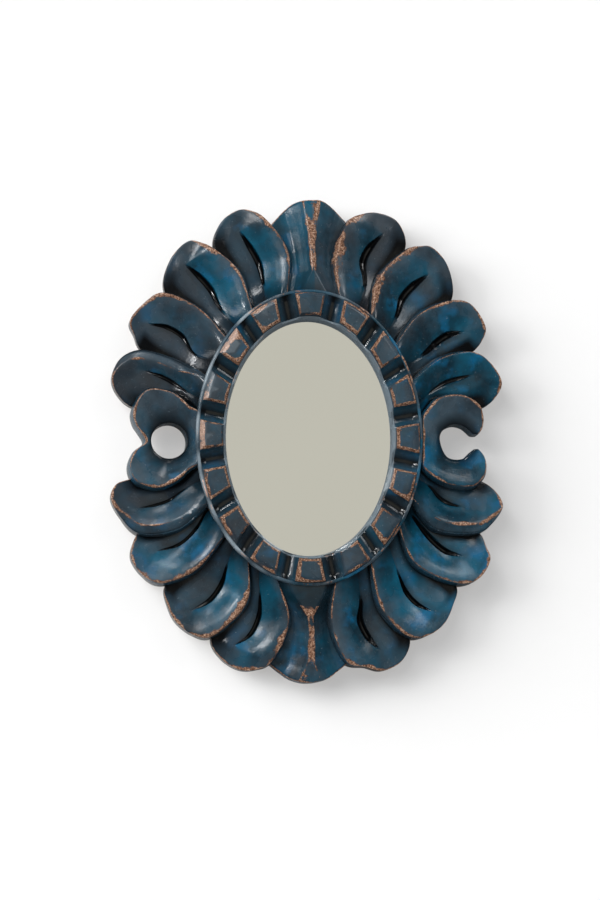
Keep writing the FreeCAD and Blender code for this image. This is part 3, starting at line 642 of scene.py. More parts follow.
def petal(name, own, neighbour_crest, back_lift):
    """One petal as a closed form."""
    edge = [photo_point(pixel, level) for pixel, level in zip(own["edge"][:CREST_POINTS], CREST_HEIGHTS)]
    edge += [outer_point(pixel, level)
             for pixel, level in zip(own["edge"][CREST_POINTS:], CREST_HEIGHTS[CREST_POINTS:])]
    edge[0] = to_ring(edge[0])
    covering = [photo_point(pixel, level) for pixel, level in zip(neighbour_crest, CREST_HEIGHTS)]
    hidden_bow = covering[1] + (covering[1] - edge[1]).normalized() * TUCK_UNDER
    hidden_root = covering[0] + (covering[0] - edge[0]).normalized() * TUCK_UNDER
    hidden_bow.y, hidden_root.y = -HIDDEN_HEIGHTS[0], -HIDDEN_HEIGHTS[1]
    hidden_root = to_ring(hidden_root)
    rim, marks = smooth_line(edge + [hidden_bow, hidden_root], ALONG)
    bow, end, shoulder, tip, back, valley = marks[1:7]
    slit_root = to_ring(edge[0].lerp(hidden_root, 0.5))
    slit_root.y = -SLIT_HEIGHTS[0]
    slit = [photo_point(pixel, level) for pixel, level in zip(own["slit"], SLIT_HEIGHTS[1:])]
    spine, spine_marks = smooth_line([slit_root] + slit, ALONG)
    depth = own.get("slit_depth", SLIT_DEPTH_MM) * MM
    crest_inset = own.get("crest_inset", 0.0) * MM
    column_stops = ((0, 0.0), (SIDE_COLUMNS, shoulder), (ALONG - SIDE_COLUMNS, back), (ALONG, 1.0))
    worn_stops = [(place, WORN_THROUGH * wide * MM) for place, wide in
                  zip((0.0, bow, end, tip, back, valley), own["worn"] + VALLEY_WORN)]
    inset_stops = ((0.0, 0.0), (bow, crest_inset), (end, crest_inset),
                   (shoulder, crest_inset * SHOULDER_INSET), (tip, 0.0), (1.0, 0.0))
    flare_stops = ((0.0, FLARE), (bow, FLARE), (end, FLARE * END_FLARE), (shoulder, 0.0), (1.0, 0.0))
    slit_stops = list(zip((0.0, spine_marks[1] * SLIT_BEGINS, *spine_marks[1:4], 1.0), SLIT_OPEN))

    def shape(column, row):
        along = between(column, column_stops)
        outer = point_at(rim, along)
        spine_place = slow_down(min(1.0, column / SIDE_COLUMNS, (ALONG - column) / SIDE_COLUMNS))
        inner = point_at(spine, spine_place)
        way = Vector((inner.x - outer.x, 0, inner.z - outer.z))
        span = way.length
        way.normalize()
        worn_width = max(between(along, worn_stops), TINY)
        if row < WALL_ROWS:
            outward = between(along, flare_stops)
            low = max(0.0, -outer.y - FLARE_DROP)
            height = (0.0, low, (low - outer.y) / 2)[row]
            place = outer - way * outward * FLARE_SHARES[row]
            # Grime and painted shade darken the wall towards its foot, and painted shade lies over all of it
            return Vector((place.x, -height, place.z)), {
                "worn": max(0.0, -outer.y - height) / worn_width,
                "grime": 1.0 - ease(height / (-outer.y + TINY)), "dusk": WALL_SHADE}
        open_share = between(spine_place, slit_stops)
        opened = (SLIT_START + (1 - SLIT_START) * open_share) * own.get("slit_width", 1.0)
        distance = row_place(row - WALL_ROWS, span, opened)
        to_slit = span - distance
        share = distance / span
        near = 1 - ease((along - end) / (tip - end))
        far = ease((along - tip) / (valley - tip))
        kept = (near * between(share, CREST_FALL) + far * between(share, HIDDEN_FALL)
                + (1 - near - far) * between(share, TIP_FALL))
        height = -inner.y + (inner.y - outer.y) * kept
        inset = between(along, inset_stops)
        crest_distance = distance
        if inset > LEAST_INSET:
            height -= RIM_DROP * max(0.0, 1 - distance / inset) * min(1.0, inset / RIM_INSET)
            crest_distance = abs(distance - inset)
        height -= CREST_ROUND * max(0.0, 1 - distance / CREST_ROUND_WIDTH) ** 2
        groove = max(0.0, 1 - to_slit / min(GROOVE_HALF * opened, GROOVE_MOST * span))
        height -= depth * open_share * min(1.0, groove * SLIT_STEEP)
        height += ROOT_RISE * max(0.0, 1 - spine_place / ROOT_SHARE) ** 2 * ease(share / ROOT_FULL_SHARE)
        place = outer + way * distance
        height += tooled(Vector((place.x, place.z, 0.0)), PETAL_RIPPLE, RIPPLES_PER_METRE, distance)
        # Grime and painted shade: in the slit, smeared out of it onto the hidden side, under the next
        # petal's crest, and at the root by the ring
        slit_grime_and_shade = min(1.0, groove * SLIT_GRIME_AND_SHADE_STEEP) * min(1.0, open_share * SLIT_GRIME_AND_SHADE_OPEN)
        hidden_grime_and_shade = (ease((along - back) / (HIDDEN_GRIME_AND_SHADE_RUN * (valley - back)))
                        * ease(1 - (distance - TUCK_UNDER) / GRIME_AND_SHADE_REACH))
        smeared_grime_and_shade = SMEAR_MOST * far * max(0.0, 1 - to_slit / SMEAR) * min(1.0, open_share * SMEAR_OPEN)
        root_grime_and_shade = ROOT_GRIME_AND_SHADE * ease(1 - spine_place / ROOT_GRIME_AND_SHADE_SHARE)
        root_grime_and_shade *= ROOT_GRIME_AND_SHADE_EDGE + (1 - ROOT_GRIME_AND_SHADE_EDGE) * share
        # Painted shade: over the hidden side towards the valley, lighter further in on the crest's side, and
        # in a band along the crest
        far_shade = ease((along - bow) / (valley - bow))
        far_shade *= 1 - INNER_LIGHT * near * ease((share - INNER_LIGHT_FROM) / INNER_LIGHT_OVER)
        near_crest_shade = NEAR_CREST_SHADE * near * (1 - ease(share / NEAR_CREST_SHADE_SHARE))
        return Vector((place.x, -height, place.z)), {
            "worn": crest_distance / worn_width, "grime": max(slit_grime_and_shade, hidden_grime_and_shade, smeared_grime_and_shade, root_grime_and_shade),
            "dusk": max(far_shade, near_crest_shade, own.get("shade", 0.0)) * own["dusk"],
            "slate": own["slate"] + NEAR_SLATE * near * (NEAR_SLATE_TURN - share)}

    piece = grid_piece(name, ALONG, PETAL_ROWS - 1, shape, own["slate"])
    close_at_back(piece, back_lift)
    return piece


# The paint's layers over the blue: each one's pattern, where in it the layer begins and is full, how much
# of it then shows, and its colour. The dusky layer is a darker tone and painted shade, the pale flecks are
# painted glints, the paled layer is pale paint and in places painted highlight, and the grimed layer is
# grime and painted shade. The last one is the bare wood, paled in places into a painted glare.
LAYERS = (
    ("accented", ("accent", "Fac"), 0.54, 0.68, 0.85, "#04618a"),
    ("toned", ("slate_part", 0), 0.0, 1.0, 1.0, ("slates", "Color")),
    ("paled", ("slate", "Fac"), 1.2, 2.2, 1.0, "#8b99a2"),
    ("dusky", ("dusk", "Fac"), 0.0, 1.0, 0.75, "#2e3238"),
    ("flecked", ("flecks", "Fac"), 0.72, 0.78, 0.3, "#8b9ca6"),
    ("grimed", ("grime", "Fac"), 0.0, 0.85, 1.0, "#08090b"),
    ("rubbed", ("reach", 0), 1.05, 0.85, 1.0, ("bleached", "Result")),
)
# Where the paint turns pale the bare wood turns pale pink: a painted glare on the upper-left bevels and the
# bead's left side, and a paler wood on the inner lip
PALE_WOOD_AND_GLARE = "#d9bcae"


def worn_blue_paint():
    """Glossy oil paint on carved limewood: blues and slate greys that drift over about 40 mm, black grime
    and painted shade in the cuts and hollows, painted shade on the hidden sides, pale flecks as painted
    glints, painted highlight where paint and wood turn pale, and crests rubbed through to copper-brown wood,
    speckled every 1.3 mm."""
    paint = new_material("worn_blue_paint")
    add_node(paint, "ShaderNodeTexCoord", "place")
    for note in NOTES:
        add_node(paint, "ShaderNodeAttribute", note, {"attribute_name": note})
    # Each pattern's features to the metre, detail and roughness: they are 38, 21, 18, 7, 1.3 and 1.6 mm wide
    # The last pattern sets the pale flecks, which are painted glints
    for pattern, per_metre, detail, roughness in (
            ("drift", 26.0, 4.0, 0.6), ("accent", 48.0, 3.0, 0.55), ("patches", 55.0, 3.0, 0.55),
            ("chips", 150.0, 5.0, 0.65), ("speckle", 760.0, 3.0, 0.65), ("flecks", 620.0, 1.0, 0.5)):
        add_node(paint, "ShaderNodeTexNoise", pattern,
                 values={"Scale": per_metre, "Detail": detail, "Roughness": roughness},
                 links={"Vector": ("place", "Object")})
    for tones, pattern, stops in (
            ("blues", "drift", ((0.36, "#0b2a37"), (0.5, "#0c4559"), (0.64, "#075872"))),
            ("slates", "drift", ((0.36, "#29333b"), (0.64, "#465a67"))),
            ("coppers", "speckle",
             ((0.34, "#2c1d17"), (0.43, "#614130"), (0.52, "#8c6650"), (0.66, "#c9aa92")))):
        add_node(paint, "ShaderNodeValToRGB", tones, links={"Fac": (pattern, "Fac")}, stops=stops)
    # Each pattern times a factor, plus an offset that centres it on 0
    for name, pattern, factor, offset in (
            ("slate_drift", "patches", 2.2, -1.1), ("coarse", "patches", 4.5, -2.05),
            ("fine", "chips", 2.4, -1.2), ("grain", "speckle", 1.4, -0.7)):
        add_node(paint, "ShaderNodeMath", name, {"operation": "MULTIPLY_ADD"}, {1: factor, 2: offset},
                 {0: (pattern, "Fac")})
    add_node(paint, "ShaderNodeMath", "slate_part", {"operation": "ADD", "use_clamp": True},
             links={0: ("slate", "Fac"), 1: ("slate_drift", 0)})
    for name, first, second in (
            ("broken", ("coarse", 0), ("fine", 0)), ("ragged", ("broken", 0), ("grain", 0)),
            ("reach", ("worn", "Fac"), ("ragged", 0))):
        add_node(paint, "ShaderNodeMath", name, {"operation": "ADD"}, links={0: first, 1: second})
    layer = ("blues", "Color")
    for name, pattern, begins, full, most, colour in LAYERS:
        add_node(paint, "ShaderNodeMapRange", name + "_part",
                 values={"From Min": begins, "From Max": full, "To Max": most}, links={"Value": pattern})
        if name == "rubbed":
            add_node(paint, "ShaderNodeMix", "bleached", {"data_type": "RGBA"}, {"B": linear(PALE_WOOD_AND_GLARE)},
                     {"A": ("coppers", "Color"), "Factor": ("paled_part", "Result")})
        values, links = {}, {"A": layer, "Factor": (name + "_part", "Result")}
        if isinstance(colour, str):
            values["B"] = linear(colour)
        else:
            links["B"] = colour
        add_node(paint, "ShaderNodeMix", name, {"data_type": "RGBA"}, values, links)
        layer = (name, "Result")
    # The gloss drifts with the patches and is sharper where the grime and painted shade lie
    add_node(paint, "ShaderNodeMapRange", "pooled", values={"From Max": 0.5, "To Min": 0.12, "To Max": 0.01},
             links={"Value": ("grime", "Fac")})
    add_node(paint, "ShaderNodeMath", "roughness", {"operation": "MULTIPLY_ADD"}, {1: 0.3},
             {0: ("patches", "Fac"), 2: ("pooled", 0)})
    # The skin is faintly uneven, by the chips and less by the speckle
    add_node(paint, "ShaderNodeMath", "surface_grain", {"operation": "MULTIPLY_ADD"}, {1: 0.6},
             {0: ("speckle", "Fac"), 2: ("chips", "Fac")})
    add_node(paint, "ShaderNodeBump", "bump", values={"Strength": 0.35, "Distance": 0.4 * MM},
             links={"Height": ("surface_grain", 0)})
    add_node(paint, "ShaderNodeBsdfPrincipled", "skin", values={"Specular IOR Level": 0.4},
             links={"Base Color": layer, "Roughness": ("roughness", 0), "Normal": ("bump", 0)})
    surface(paint, "skin")
    return paint


blue_paint = worn_blue_paint()
# The hanger's pocket in the back, whose faces show bare wood as the back does
POCKET_WIDTH = 26.0 * MM
POCKET_HEIGHT = 51.0 * MM
POCKET_DEPTH = 6.0 * MM
POCKET_MIDDLE = 152.5 * MM
SHARPEST_SMOOTH = math.radians(40)
# A face of the back points this much backwards and lies this close to the back plane
BACKWARDS, BACK_REACH = 0.9, 1.0 * MM


def finish_carving(piece, node):
    """Paints a carving, leaves its back bare, and hangs it on the frame in place of its CAD block."""
    piece.data.materials.append(blue_paint)
    piece.data.materials.append(wood)
    for face in piece.data.polygons:
        face.use_smooth = True
        flat_back = face.normal.y > BACKWARDS and face.center.y > -BACK_REACH
        in_pocket = (abs(face.center.x) < POCKET_WIDTH / 2 + SEAM_GAP
                     and abs(face.center.z - POCKET_MIDDLE) < POCKET_HEIGHT / 2 + SEAM_GAP
                     and face.center.y > -POCKET_DEPTH - SEAM_GAP)
        if flat_back or in_pocket:
            face.material_index = 1
    bpy.ops.object.select_all(action="DESELECT")
    bpy.context.view_layer.objects.active = piece
    piece.select_set(True)
    bpy.ops.object.shade_smooth_by_angle(angle=SHARPEST_SMOOTH)
    piece.select_set(False)
    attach(piece, "root")
    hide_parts(node)


# The carved blocks that each quarter's first two and last two petals belong to
QUARTER_NODES = {
    "upper_left": ("petals_top", "petals_left"), "upper_right": ("petals_top", "petals_right"),
    "lower_right": ("petals_bottom", "petals_right"), "lower_left": ("petals_bottom", "petals_left"),
}
for quarter, rows in PETALS.items():
    crests = [row["edge"][:2] for row in rows[1:]] + [SCROLL_CRESTS[quarter]]
    for number, (own, neighbour) in enumerate(zip(rows, crests), 1):
        back_lift = BACK_STEP if number % 2 else 3 * BACK_STEP
        leaf = petal(f"petal_{quarter}_{number}", own, neighbour, back_lift)
        finish_carving(leaf, QUARTER_NODES[quarter][number > 2])


# The scrolls
# A C-shaped scroll of the same wood and paint on each side, between the last petals: a raised band that
# falls from its outer crest to its inner edge. The left one closes round a hole, the right one is open.

# Each row is a point of the crest or of the throat: its pixel in the photograph, and its height in mm.
LEFT_SCROLL = (
    (198, 426, 31.5), (199, 412, 32), (189.4, 405.7, 31.5), (181.8, 398.6, 30.5), (171, 391.9, 29.5),
    (153, 388.5, 27), (144, 392, 26), (138, 400, 25), (133.6, 412.9, 24), (136, 423.6, 23.5),
    (140.7, 430.7, 23), (145.6, 438, 21.5), (146.2, 441, 21), (144.8, 443.5, 21.5), (136, 450, 22.5),
    (131.8, 457.5, 23), (130.4, 464.6, 23), (131.8, 472.7, 23.5), (136, 480, 24), (144, 484.5, 25),
    (158.6, 487, 27), (172, 482.5, 29), (181, 477, 30.5), (189, 469, 31.5), (198, 463, 32),
    (198.5, 452, 31.5), (198.5, 441, 31.5), (198, 426, 31.5),
)
RIGHT_SCROLL = (
    (478.6, 434, 19.5), (482, 429, 21), (483.8, 420, 22), (482.4, 411, 23.5), (480.4, 405.7, 24.5),
    (473.2, 399.5, 26), (464.3, 395.4, 27.5), (453.6, 394.6, 29), (442.9, 396.8, 30), (435.7, 400.4, 31),
    (429.5, 407.5, 31.5), (424, 416, 32), (423.5, 430, 31.5), (423.5, 441, 31.5), (423.5, 455, 31.5),
    (424, 466, 32), (431, 473.6, 31.5), (439, 479, 30.5), (448, 483.4, 29), (457, 485.2, 28),
    (466, 486.2, 27), (475, 485, 25.5), (480.4, 480.7, 24.5), (485.3, 473.6, 23.5), (486.6, 464.6, 22.5),
    (484, 455.7, 21.5), (478.6, 449, 19.5),
)
RIGHT_THROAT = (
    (478.6, 434, 19.5), (473.2, 433.6, 19.5), (468.8, 429.8, 19.5), (464.3, 426.3, 19.5), (455.4, 424, 20),
    (448.2, 426.3, 20.5), (442, 431.6, 21), (440, 437, 21), (440.6, 443.2, 21), (443.8, 452, 21),
    (448.2, 457.5, 20.5), (456.3, 459.6, 20), (464.3, 458, 19.5), (469.6, 453, 19.5), (474, 449.3, 19.5),
    (478.6, 449, 19.5),
)
# Which points of the right crest stand opposite which points of its throat
THROAT_PAIRS = ((4, 2), (10, 5), (13, 7), (16, 10), (22, 13))
HOLE_CENTRE = (169.3, 440.5)
HOLE_RADIUS = 14.9 * MM
HOLE_EDGE_HEIGHT = 19.5 * MM
SCROLL_COLUMNS = 160
SCROLL_LIFT = 2 * BACK_STEP
SCROLL_FALL = ((0.0, 1.0), (0.12, 0.97), (0.35, 0.8), (0.6, 0.48), (0.85, 0.14), (1.0, 0.0))
SCROLL_WORN = 1.6 * MM
# How far out the wall's rows stand from the crest, and how far they lie below it; the first is at the back
WALL_OUT_MM = (2.0, 2.0, 0.4)
WALL_DROP_MM = (8.0, 2.0)
# Rows over the crest, then the rows of the slope, then the rows over the inner edge, each with the share of
# a short run that it takes at most, and the row down the hole's wall
CREST_STEPS_MM, CREST_STEP_SHARE = (0.0, 0.4, 0.9, 1.7), 0.06
SLOPE_ROWS = 12
EDGE_STEPS = ((1.0, 0.15), (0.4, 0.06), (0.0, 0.0))
HOLE_DROP = 3.0 * MM
# Below this span the steps outwards shrink
FULL_SPAN = 4.0 * MM
# How much the inner edge is rounded off and over what width, and how much the crest's edge is
EDGE_ROUND, EDGE_ROUND_WIDTH = 0.8 * MM, 1.0 * MM
SCROLL_CREST_ROUND = 0.6 * MM
FINE_RIPPLE, FINE_RIPPLES_PER_METRE = 0.22 * MM, 95.0
# The paint's dusk on scrolls and lobes, the grime and painted shade in the hole, and the height over which
# its tone turns
CARVED_DUSK = 0.2
HOLE_GRIME_AND_SHADE = 0.3
TONE_TURN = 20.0 * MM
# The grime and painted shade on the slope down to the inner edge, and the share of the way where it begins
SLOPE_GRIME_AND_SHADE, SLOPE_GRIME_AND_SHADE_FROM = 0.75, 0.45
# Each scroll's slate tones above and below its middle
LEFT_SLATES, RIGHT_SLATES = (0.9, 0.5), (1.0, -0.3)


def scroll(name, crest_line, edge_line, slates):
    """A raised band between an outer crest and an inner edge, walled down to the back on both sides."""
    crest_row = len(WALL_OUT_MM)
    slope_row = crest_row + len(CREST_STEPS_MM)
    edge_row = slope_row + SLOPE_ROWS
    hole_row = edge_row + len(EDGE_STEPS)
    # The hole's wall and the hidden faces get grime and painted shade
    hidden_paint = {"worn": UNWORN, "grime": HOLE_GRIME_AND_SHADE, "dusk": CARVED_DUSK}

    def shape(column, row):
        crest, edge = crest_line[column], edge_line[column]
        way = Vector((edge.x - crest.x, 0, edge.z - crest.z))
        span = max(way.length, TINY)
        way.normalize()
        top, low = -crest.y, -edge.y
        tiny = min(1.0, span / FULL_SPAN)
        if row < crest_row:
            drop, upper_drop = [step * MM for step in WALL_DROP_MM]
            height = (SCROLL_LIFT, max(SCROLL_LIFT, top - drop), top - upper_drop)[row]
            place = crest - way * WALL_OUT_MM[row] * MM * tiny
            # Grime and painted shade darken the wall towards its foot
            return Vector((place.x, -height, place.z)), {
                "worn": (top - height) / SCROLL_WORN, "grime": 1 - ease(height / top), "dusk": CARVED_DUSK}
        if row < slope_row:
            step = row - crest_row
            distance = min(CREST_STEPS_MM[step] * MM, span * CREST_STEP_SHARE * step)
        elif row < edge_row:
            first = min(CREST_STEPS_MM[-1] * MM, span * CREST_STEP_SHARE * (len(CREST_STEPS_MM) - 1))
            last = span - min(EDGE_STEPS[0][0] * MM, span * EDGE_STEPS[0][1])
            distance = first + (last - first) * (row - slope_row + 1) / (SLOPE_ROWS + 1)
        elif row < hole_row:
            step, most = EDGE_STEPS[row - edge_row]
            distance = span - min(step * MM, span * most)
        elif row < hole_row + 2:
            height = (low - HOLE_DROP, SCROLL_LIFT)[row - hole_row]
            return Vector((edge.x, -height, edge.z)), hidden_paint
        else:
            place = crest - way * WALL_OUT_MM[0] * MM * tiny
            return Vector((place.x, -SCROLL_LIFT, place.z)), hidden_paint
        share = distance / span
        height = low + (top - low) * between(share, SCROLL_FALL)
        height -= SCROLL_CREST_ROUND * max(0.0, 1 - distance / CREST_ROUND_WIDTH) ** 2
        height -= EDGE_ROUND * max(0.0, 1 - (span - distance) / EDGE_ROUND_WIDTH) ** 2
        place = crest + way * distance
        height += tooled(place, FINE_RIPPLE, FINE_RIPPLES_PER_METRE, distance)
        slate = slates[1] + (slates[0] - slates[1]) * ease(0.5 + place.z / TONE_TURN)
        # Grime and painted shade darken the slope towards the inner edge
        return Vector((place.x, -height, place.z)), {
            "worn": distance / SCROLL_WORN, "dusk": CARVED_DUSK, "slate": slate,
            "grime": SLOPE_GRIME_AND_SHADE * ease((share - SLOPE_GRIME_AND_SHADE_FROM) / (1 - SLOPE_GRIME_AND_SHADE_FROM))}

    piece = grid_piece(name, SCROLL_COLUMNS, hole_row + 2, shape)
    bpy.ops.object.mode_set(mode="EDIT")
    merge_seams()
    bpy.ops.mesh.fill_holes(sides=0)
    bpy.ops.mesh.select_all(action="SELECT")
    bpy.ops.mesh.normals_make_consistent(inside=False)
    bpy.ops.object.mode_set(mode="OBJECT")
    return piece


def read_line(rows):
    """The points of a line whose pixels and heights are given."""
    return [photo_point(row[:2], row[2] * MM) for row in rows]


def left_scroll():
    """The scroll that closes round a pierced hole."""
    crest_line, _ = smooth_line(read_line(LEFT_SCROLL), SCROLL_COLUMNS)
    centre = photo_point(HOLE_CENTRE, HOLE_EDGE_HEIGHT)
    edge_line = []
    for place in crest_line:
        way = Vector((place.x - centre.x, 0, place.z - centre.z)).normalized()
        edge_line.append(centre + way * HOLE_RADIUS)
    return scroll("scroll_left", crest_line, edge_line, LEFT_SLATES)


def right_scroll():
    """The scroll that opens outwards between two horns."""
    crest_line, marks = smooth_line(read_line(RIGHT_SCROLL), SCROLL_COLUMNS)
    throat, throat_marks = smooth_line(read_line(RIGHT_THROAT), SCROLL_COLUMNS)
    pairs = [(marks[crest], throat_marks[edge]) for crest, edge in THROAT_PAIRS]
    stops = ((0.0, 0.0), *pairs, (1.0, 1.0))
    edge_line = [point_at(throat, between(number / SCROLL_COLUMNS, stops))
                 for number in range(SCROLL_COLUMNS + 1)]
    return scroll("scroll_right", crest_line, edge_line, RIGHT_SLATES)


finish_carving(left_scroll(), "petals_left")
finish_carving(right_scroll(), "petals_right")


# The end lobes
# A broad lobe at the top and one at the bottom, carved and painted as the petals are: two gouged flutes
# and an arris between them, which flare to a rounded end. The top one's back has the hanger's pocket.

# Each one's slate tones left and right, its hidden sides and its outline in pixels, and half the width of
# its arris in mm from root to end
LOBES = {
    "top": {"slates": (-0.2, 0.6),
            "left": ((283, 300), (281, 262), (268, 232)), "right": ((346, 300), (342, 262), (352, 233)),
            "outline": ((268, 228), (284.4, 210.3), (292.8, 204.2), (302, 201.5), (312, 201), (322, 201.5),
                        (332.6, 208), (341.8, 217.2), (352, 229)),
            "arris": ((0.0, 10.5), (0.23, 1.0), (0.5, 1.3), (0.7, 2.6), (0.85, 4.0), (1.0, 5.4))},
    "bottom": {"slates": (0.4, 0.3),
               "left": ((272, 580), (284, 620), (264, 655)), "right": ((341, 580), (337, 620), (354, 655)),
               "outline": ((266, 661), (280.6, 672.6), (289.8, 678.7), (300.5, 682.2), (308, 682.8),
                           (315, 682.2), (328, 678.6), (337.3, 671.8), (352, 660)),
               "arris": ((0.0, 16.0), (0.12, 12.5), (0.32, 1.6), (0.55, 1.5), (0.72, 1.6), (0.85, 3.5),
                         (1.0, 8.0))},
}
LOBE_COLUMNS = 72
LOBE_ROWS = 64
# Heights in mm of the sides at root, waist and end, of the outline, of the arris and of the flutes' beds
LOBE_SIDE_LEVELS = (27, 18, 12)
LOBE_END_LEVEL = 13
ARRIS_LEVELS = ((0.0, 31.0), (0.25, 29.0), (0.5, 25.5), (0.75, 22.5), (0.9, 20.5), (1.0, 17.5))
FLUTE_LEVELS = ((0.0, 28.0), (0.2, 21.5), (0.5, 15.0), (0.75, 12.5), (1.0, 11.0))
# How a flute falls from the arris (0) to its side (1), and how near to bare wood the arris's flat top is
FLUTE_FALL = ((0.0, 0.0), (0.1, 0.3), (0.25, 0.62), (0.45, 0.93), (0.6, 1.0), (0.8, 0.93), (1.0, 0.75))
ARRIS_WORN = ((0.0, 1.6), (0.5, 0.32), (0.85, 0.32), (0.93, 0.8), (1.0, 1.6))
# Where the rubbing of the arris starts, and how wide its edges are rubbed
ARRIS_START = 0.22
ARRIS_EDGE = 1.1 * MM
LEAST_FLUTE = 1.0 * MM
# The grime and painted shade in a flute: how dark, from where on its side, over what share, and how much of
# it is gone at the rounded end. Then how dark they are at the root by the ring and how fast they fade from
# there.
FLUTE_GRIME_AND_SHADE, FLUTE_GRIME_AND_SHADE_FROM, FLUTE_GRIME_AND_SHADE_OVER, FLUTE_GRIME_AND_SHADE_GONE = 0.8, 0.35, 0.5, 0.6
LOBE_ROOT_GRIME_AND_SHADE, LOBE_ROOT_FADE = 0.6, 4
LOBE_ROUND, LOBE_ROUND_WIDTH = 0.8 * MM, 1.3 * MM
LOBE_WORN = 0.7 * MM


def lobe(name, lines):
    """Two gouged flutes with an arris between them, flaring to a rounded end."""
    sides = []
    for side in ("left", "right"):
        points = [photo_point(pixel, level * MM) for pixel, level in zip(lines[side], LOBE_SIDE_LEVELS)]
        sides.append(smooth_line(points, LOBE_ROWS)[0])
    left, right = sides
    outline = [photo_point(pixel, LOBE_END_LEVEL * MM) for pixel in lines["outline"]]
    end, _ = smooth_line(outline, LOBE_COLUMNS)
    root_left, root_right = to_ring(left[0]), to_ring(right[0])
    root = [to_ring(root_left.lerp(root_right, number / LOBE_COLUMNS)) for number in range(LOBE_COLUMNS + 1)]
    shift_left, shift_right = end[0] - left[-1], end[-1] - right[-1]

    def shape(column, row):
        s, t = column / LOBE_COLUMNS, row / LOBE_ROWS
        side_left = left[row] + (root_left - left[0]) * (1 - t) + shift_left * t
        side_right = right[row] + (root_right - right[0]) * (1 - t) + shift_right * t
        across = side_left.lerp(side_right, s)
        ends = root[column].lerp(end[column], t)
        corners = (root_left.lerp(root_right, s)).lerp(end[0].lerp(end[-1], s), t)
        place = across + ends - corners
        breadth = (side_right - side_left).length
        off = abs(s - 0.5) * breadth
        flat = between(t, lines["arris"]) * MM
        arris, flute = between(t, ARRIS_LEVELS) * MM, between(t, FLUTE_LEVELS) * MM
        fall = max(0.0, off - flat) / max(breadth / 2 - flat, LEAST_FLUTE)
        height = arris - (arris - flute) * between(fall, FLUTE_FALL)
        rim = (1 - t) * (end[column] - root[column]).length
        height -= LOBE_ROUND * max(0.0, 1 - rim / LOBE_ROUND_WIDTH) ** 2
        height += tooled(place, FINE_RIPPLE, FINE_RIPPLES_PER_METRE, rim)
        worn = abs(off - flat) / ARRIS_EDGE if t > ARRIS_START else UNWORN
        if off < flat and t > ARRIS_START:
            worn = min(worn, between(t, ARRIS_WORN))
        # Grime and painted shade on the flute's low sides and at the root by the ring
        flute_grime_and_shade = FLUTE_GRIME_AND_SHADE * ease((fall - FLUTE_GRIME_AND_SHADE_FROM) / FLUTE_GRIME_AND_SHADE_OVER)
        flute_grime_and_shade *= 1 - FLUTE_GRIME_AND_SHADE_GONE * t
        return Vector((place.x, -height, place.z)), {
            "worn": min(worn, rim / LOBE_WORN),
            "grime": max(flute_grime_and_shade, LOBE_ROOT_GRIME_AND_SHADE * (1 - t) ** LOBE_ROOT_FADE),
            "dusk": CARVED_DUSK, "slate": lines["slates"][s > 0.5]}

    piece = grid_piece(name, LOBE_COLUMNS, LOBE_ROWS, shape)
    close_at_back(piece, 2 * BACK_STEP)
    return piece


top_lobe = lobe("lobe_top", LOBES["top"])
bpy.ops.object.select_all(action="DESELECT")
bpy.ops.mesh.primitive_cube_add(size=1, location=(0, 0, POCKET_MIDDLE))
pocket = bpy.context.object
pocket.scale = (POCKET_WIDTH, 2 * POCKET_DEPTH, POCKET_HEIGHT)
bpy.ops.object.transform_apply(location=True, rotation=True, scale=True)
cut = top_lobe.modifiers.new("pocket", "BOOLEAN")
cut.operation, cut.solver, cut.object = "DIFFERENCE", "EXACT", pocket
bpy.context.view_layer.objects.active = top_lobe
bpy.ops.object.modifier_apply(modifier="pocket")
bpy.data.objects.remove(pocket)
finish_carving(top_lobe, "petals_top")
finish_carving(lobe("lobe_bottom", LOBES["bottom"]), "petals_bottom")


# The ring of blocks
# A separate oval carving of the same painted wood, glued on the front: a bead outside, sixteen blocks with
# worn bevels, a gouge cut between each two, and a wall that slopes in to the glass.
BLOCKS = 16
# Along the ring, in mm at its outer edge: half of a block and a gap, of a block, and of its flat top
HALF_PERIOD = 19.45
HALF_BLOCK = 10.9
HALF_FLAT = 9.5
SIDE_OFFSETS = (4.0, 8.6, HALF_FLAT, 10.3, HALF_BLOCK, 11.6, 12.7, 14.0, 15.6, 17.2, 18.4)
COLUMN_OFFSETS = (-HALF_PERIOD, *(-offset for offset in reversed(SIDE_OFFSETS)), 0.0, *SIDE_OFFSETS)
# The blocks' height, the insets where they begin and where their inner bevel does, and how steep their ends
# fall past the flat top
BLOCK_HEIGHT = 38.0
BLOCK_START = 2.9
INNER_BEVEL = 20.5
END_SLOPE = 1.2
# Inset from the outer edge and height in mm, and whether the row is the bead's (0), the blocks' (1) or the
# inner wall's (2)
RING_ROWS = (
    (0.0, 22.0, 0), (0.0, 31.6, 0), (0.25, 32.7, 0), (0.9, 33.4, 0), (1.8, 33.6, 0), (2.4, 33.5, 0),
    (2.7, 33.2, 0), (BLOCK_START, 33.4, 1), (3.1, 35.4, 1), (3.6, 36.1, 1), (4.8, 36.8, 1), (6.6, 37.8, 1),
    (7.4, BLOCK_HEIGHT, 1), (12.6, BLOCK_HEIGHT, 1), (16.2, BLOCK_HEIGHT, 1), (19.6, BLOCK_HEIGHT, 1),
    (INNER_BEVEL, BLOCK_HEIGHT, 1), (21.3, 37.2, 1), (22.0, 36.0, 1), (22.3, 33.6, 1),
    (22.9, 32.8, 2), (23.6, 32.4, 2), (24.0, 30.6, 2), (24.5, 30.1, 2), (25.2, 26.0, 2), (25.9, 22.0, 2),
)
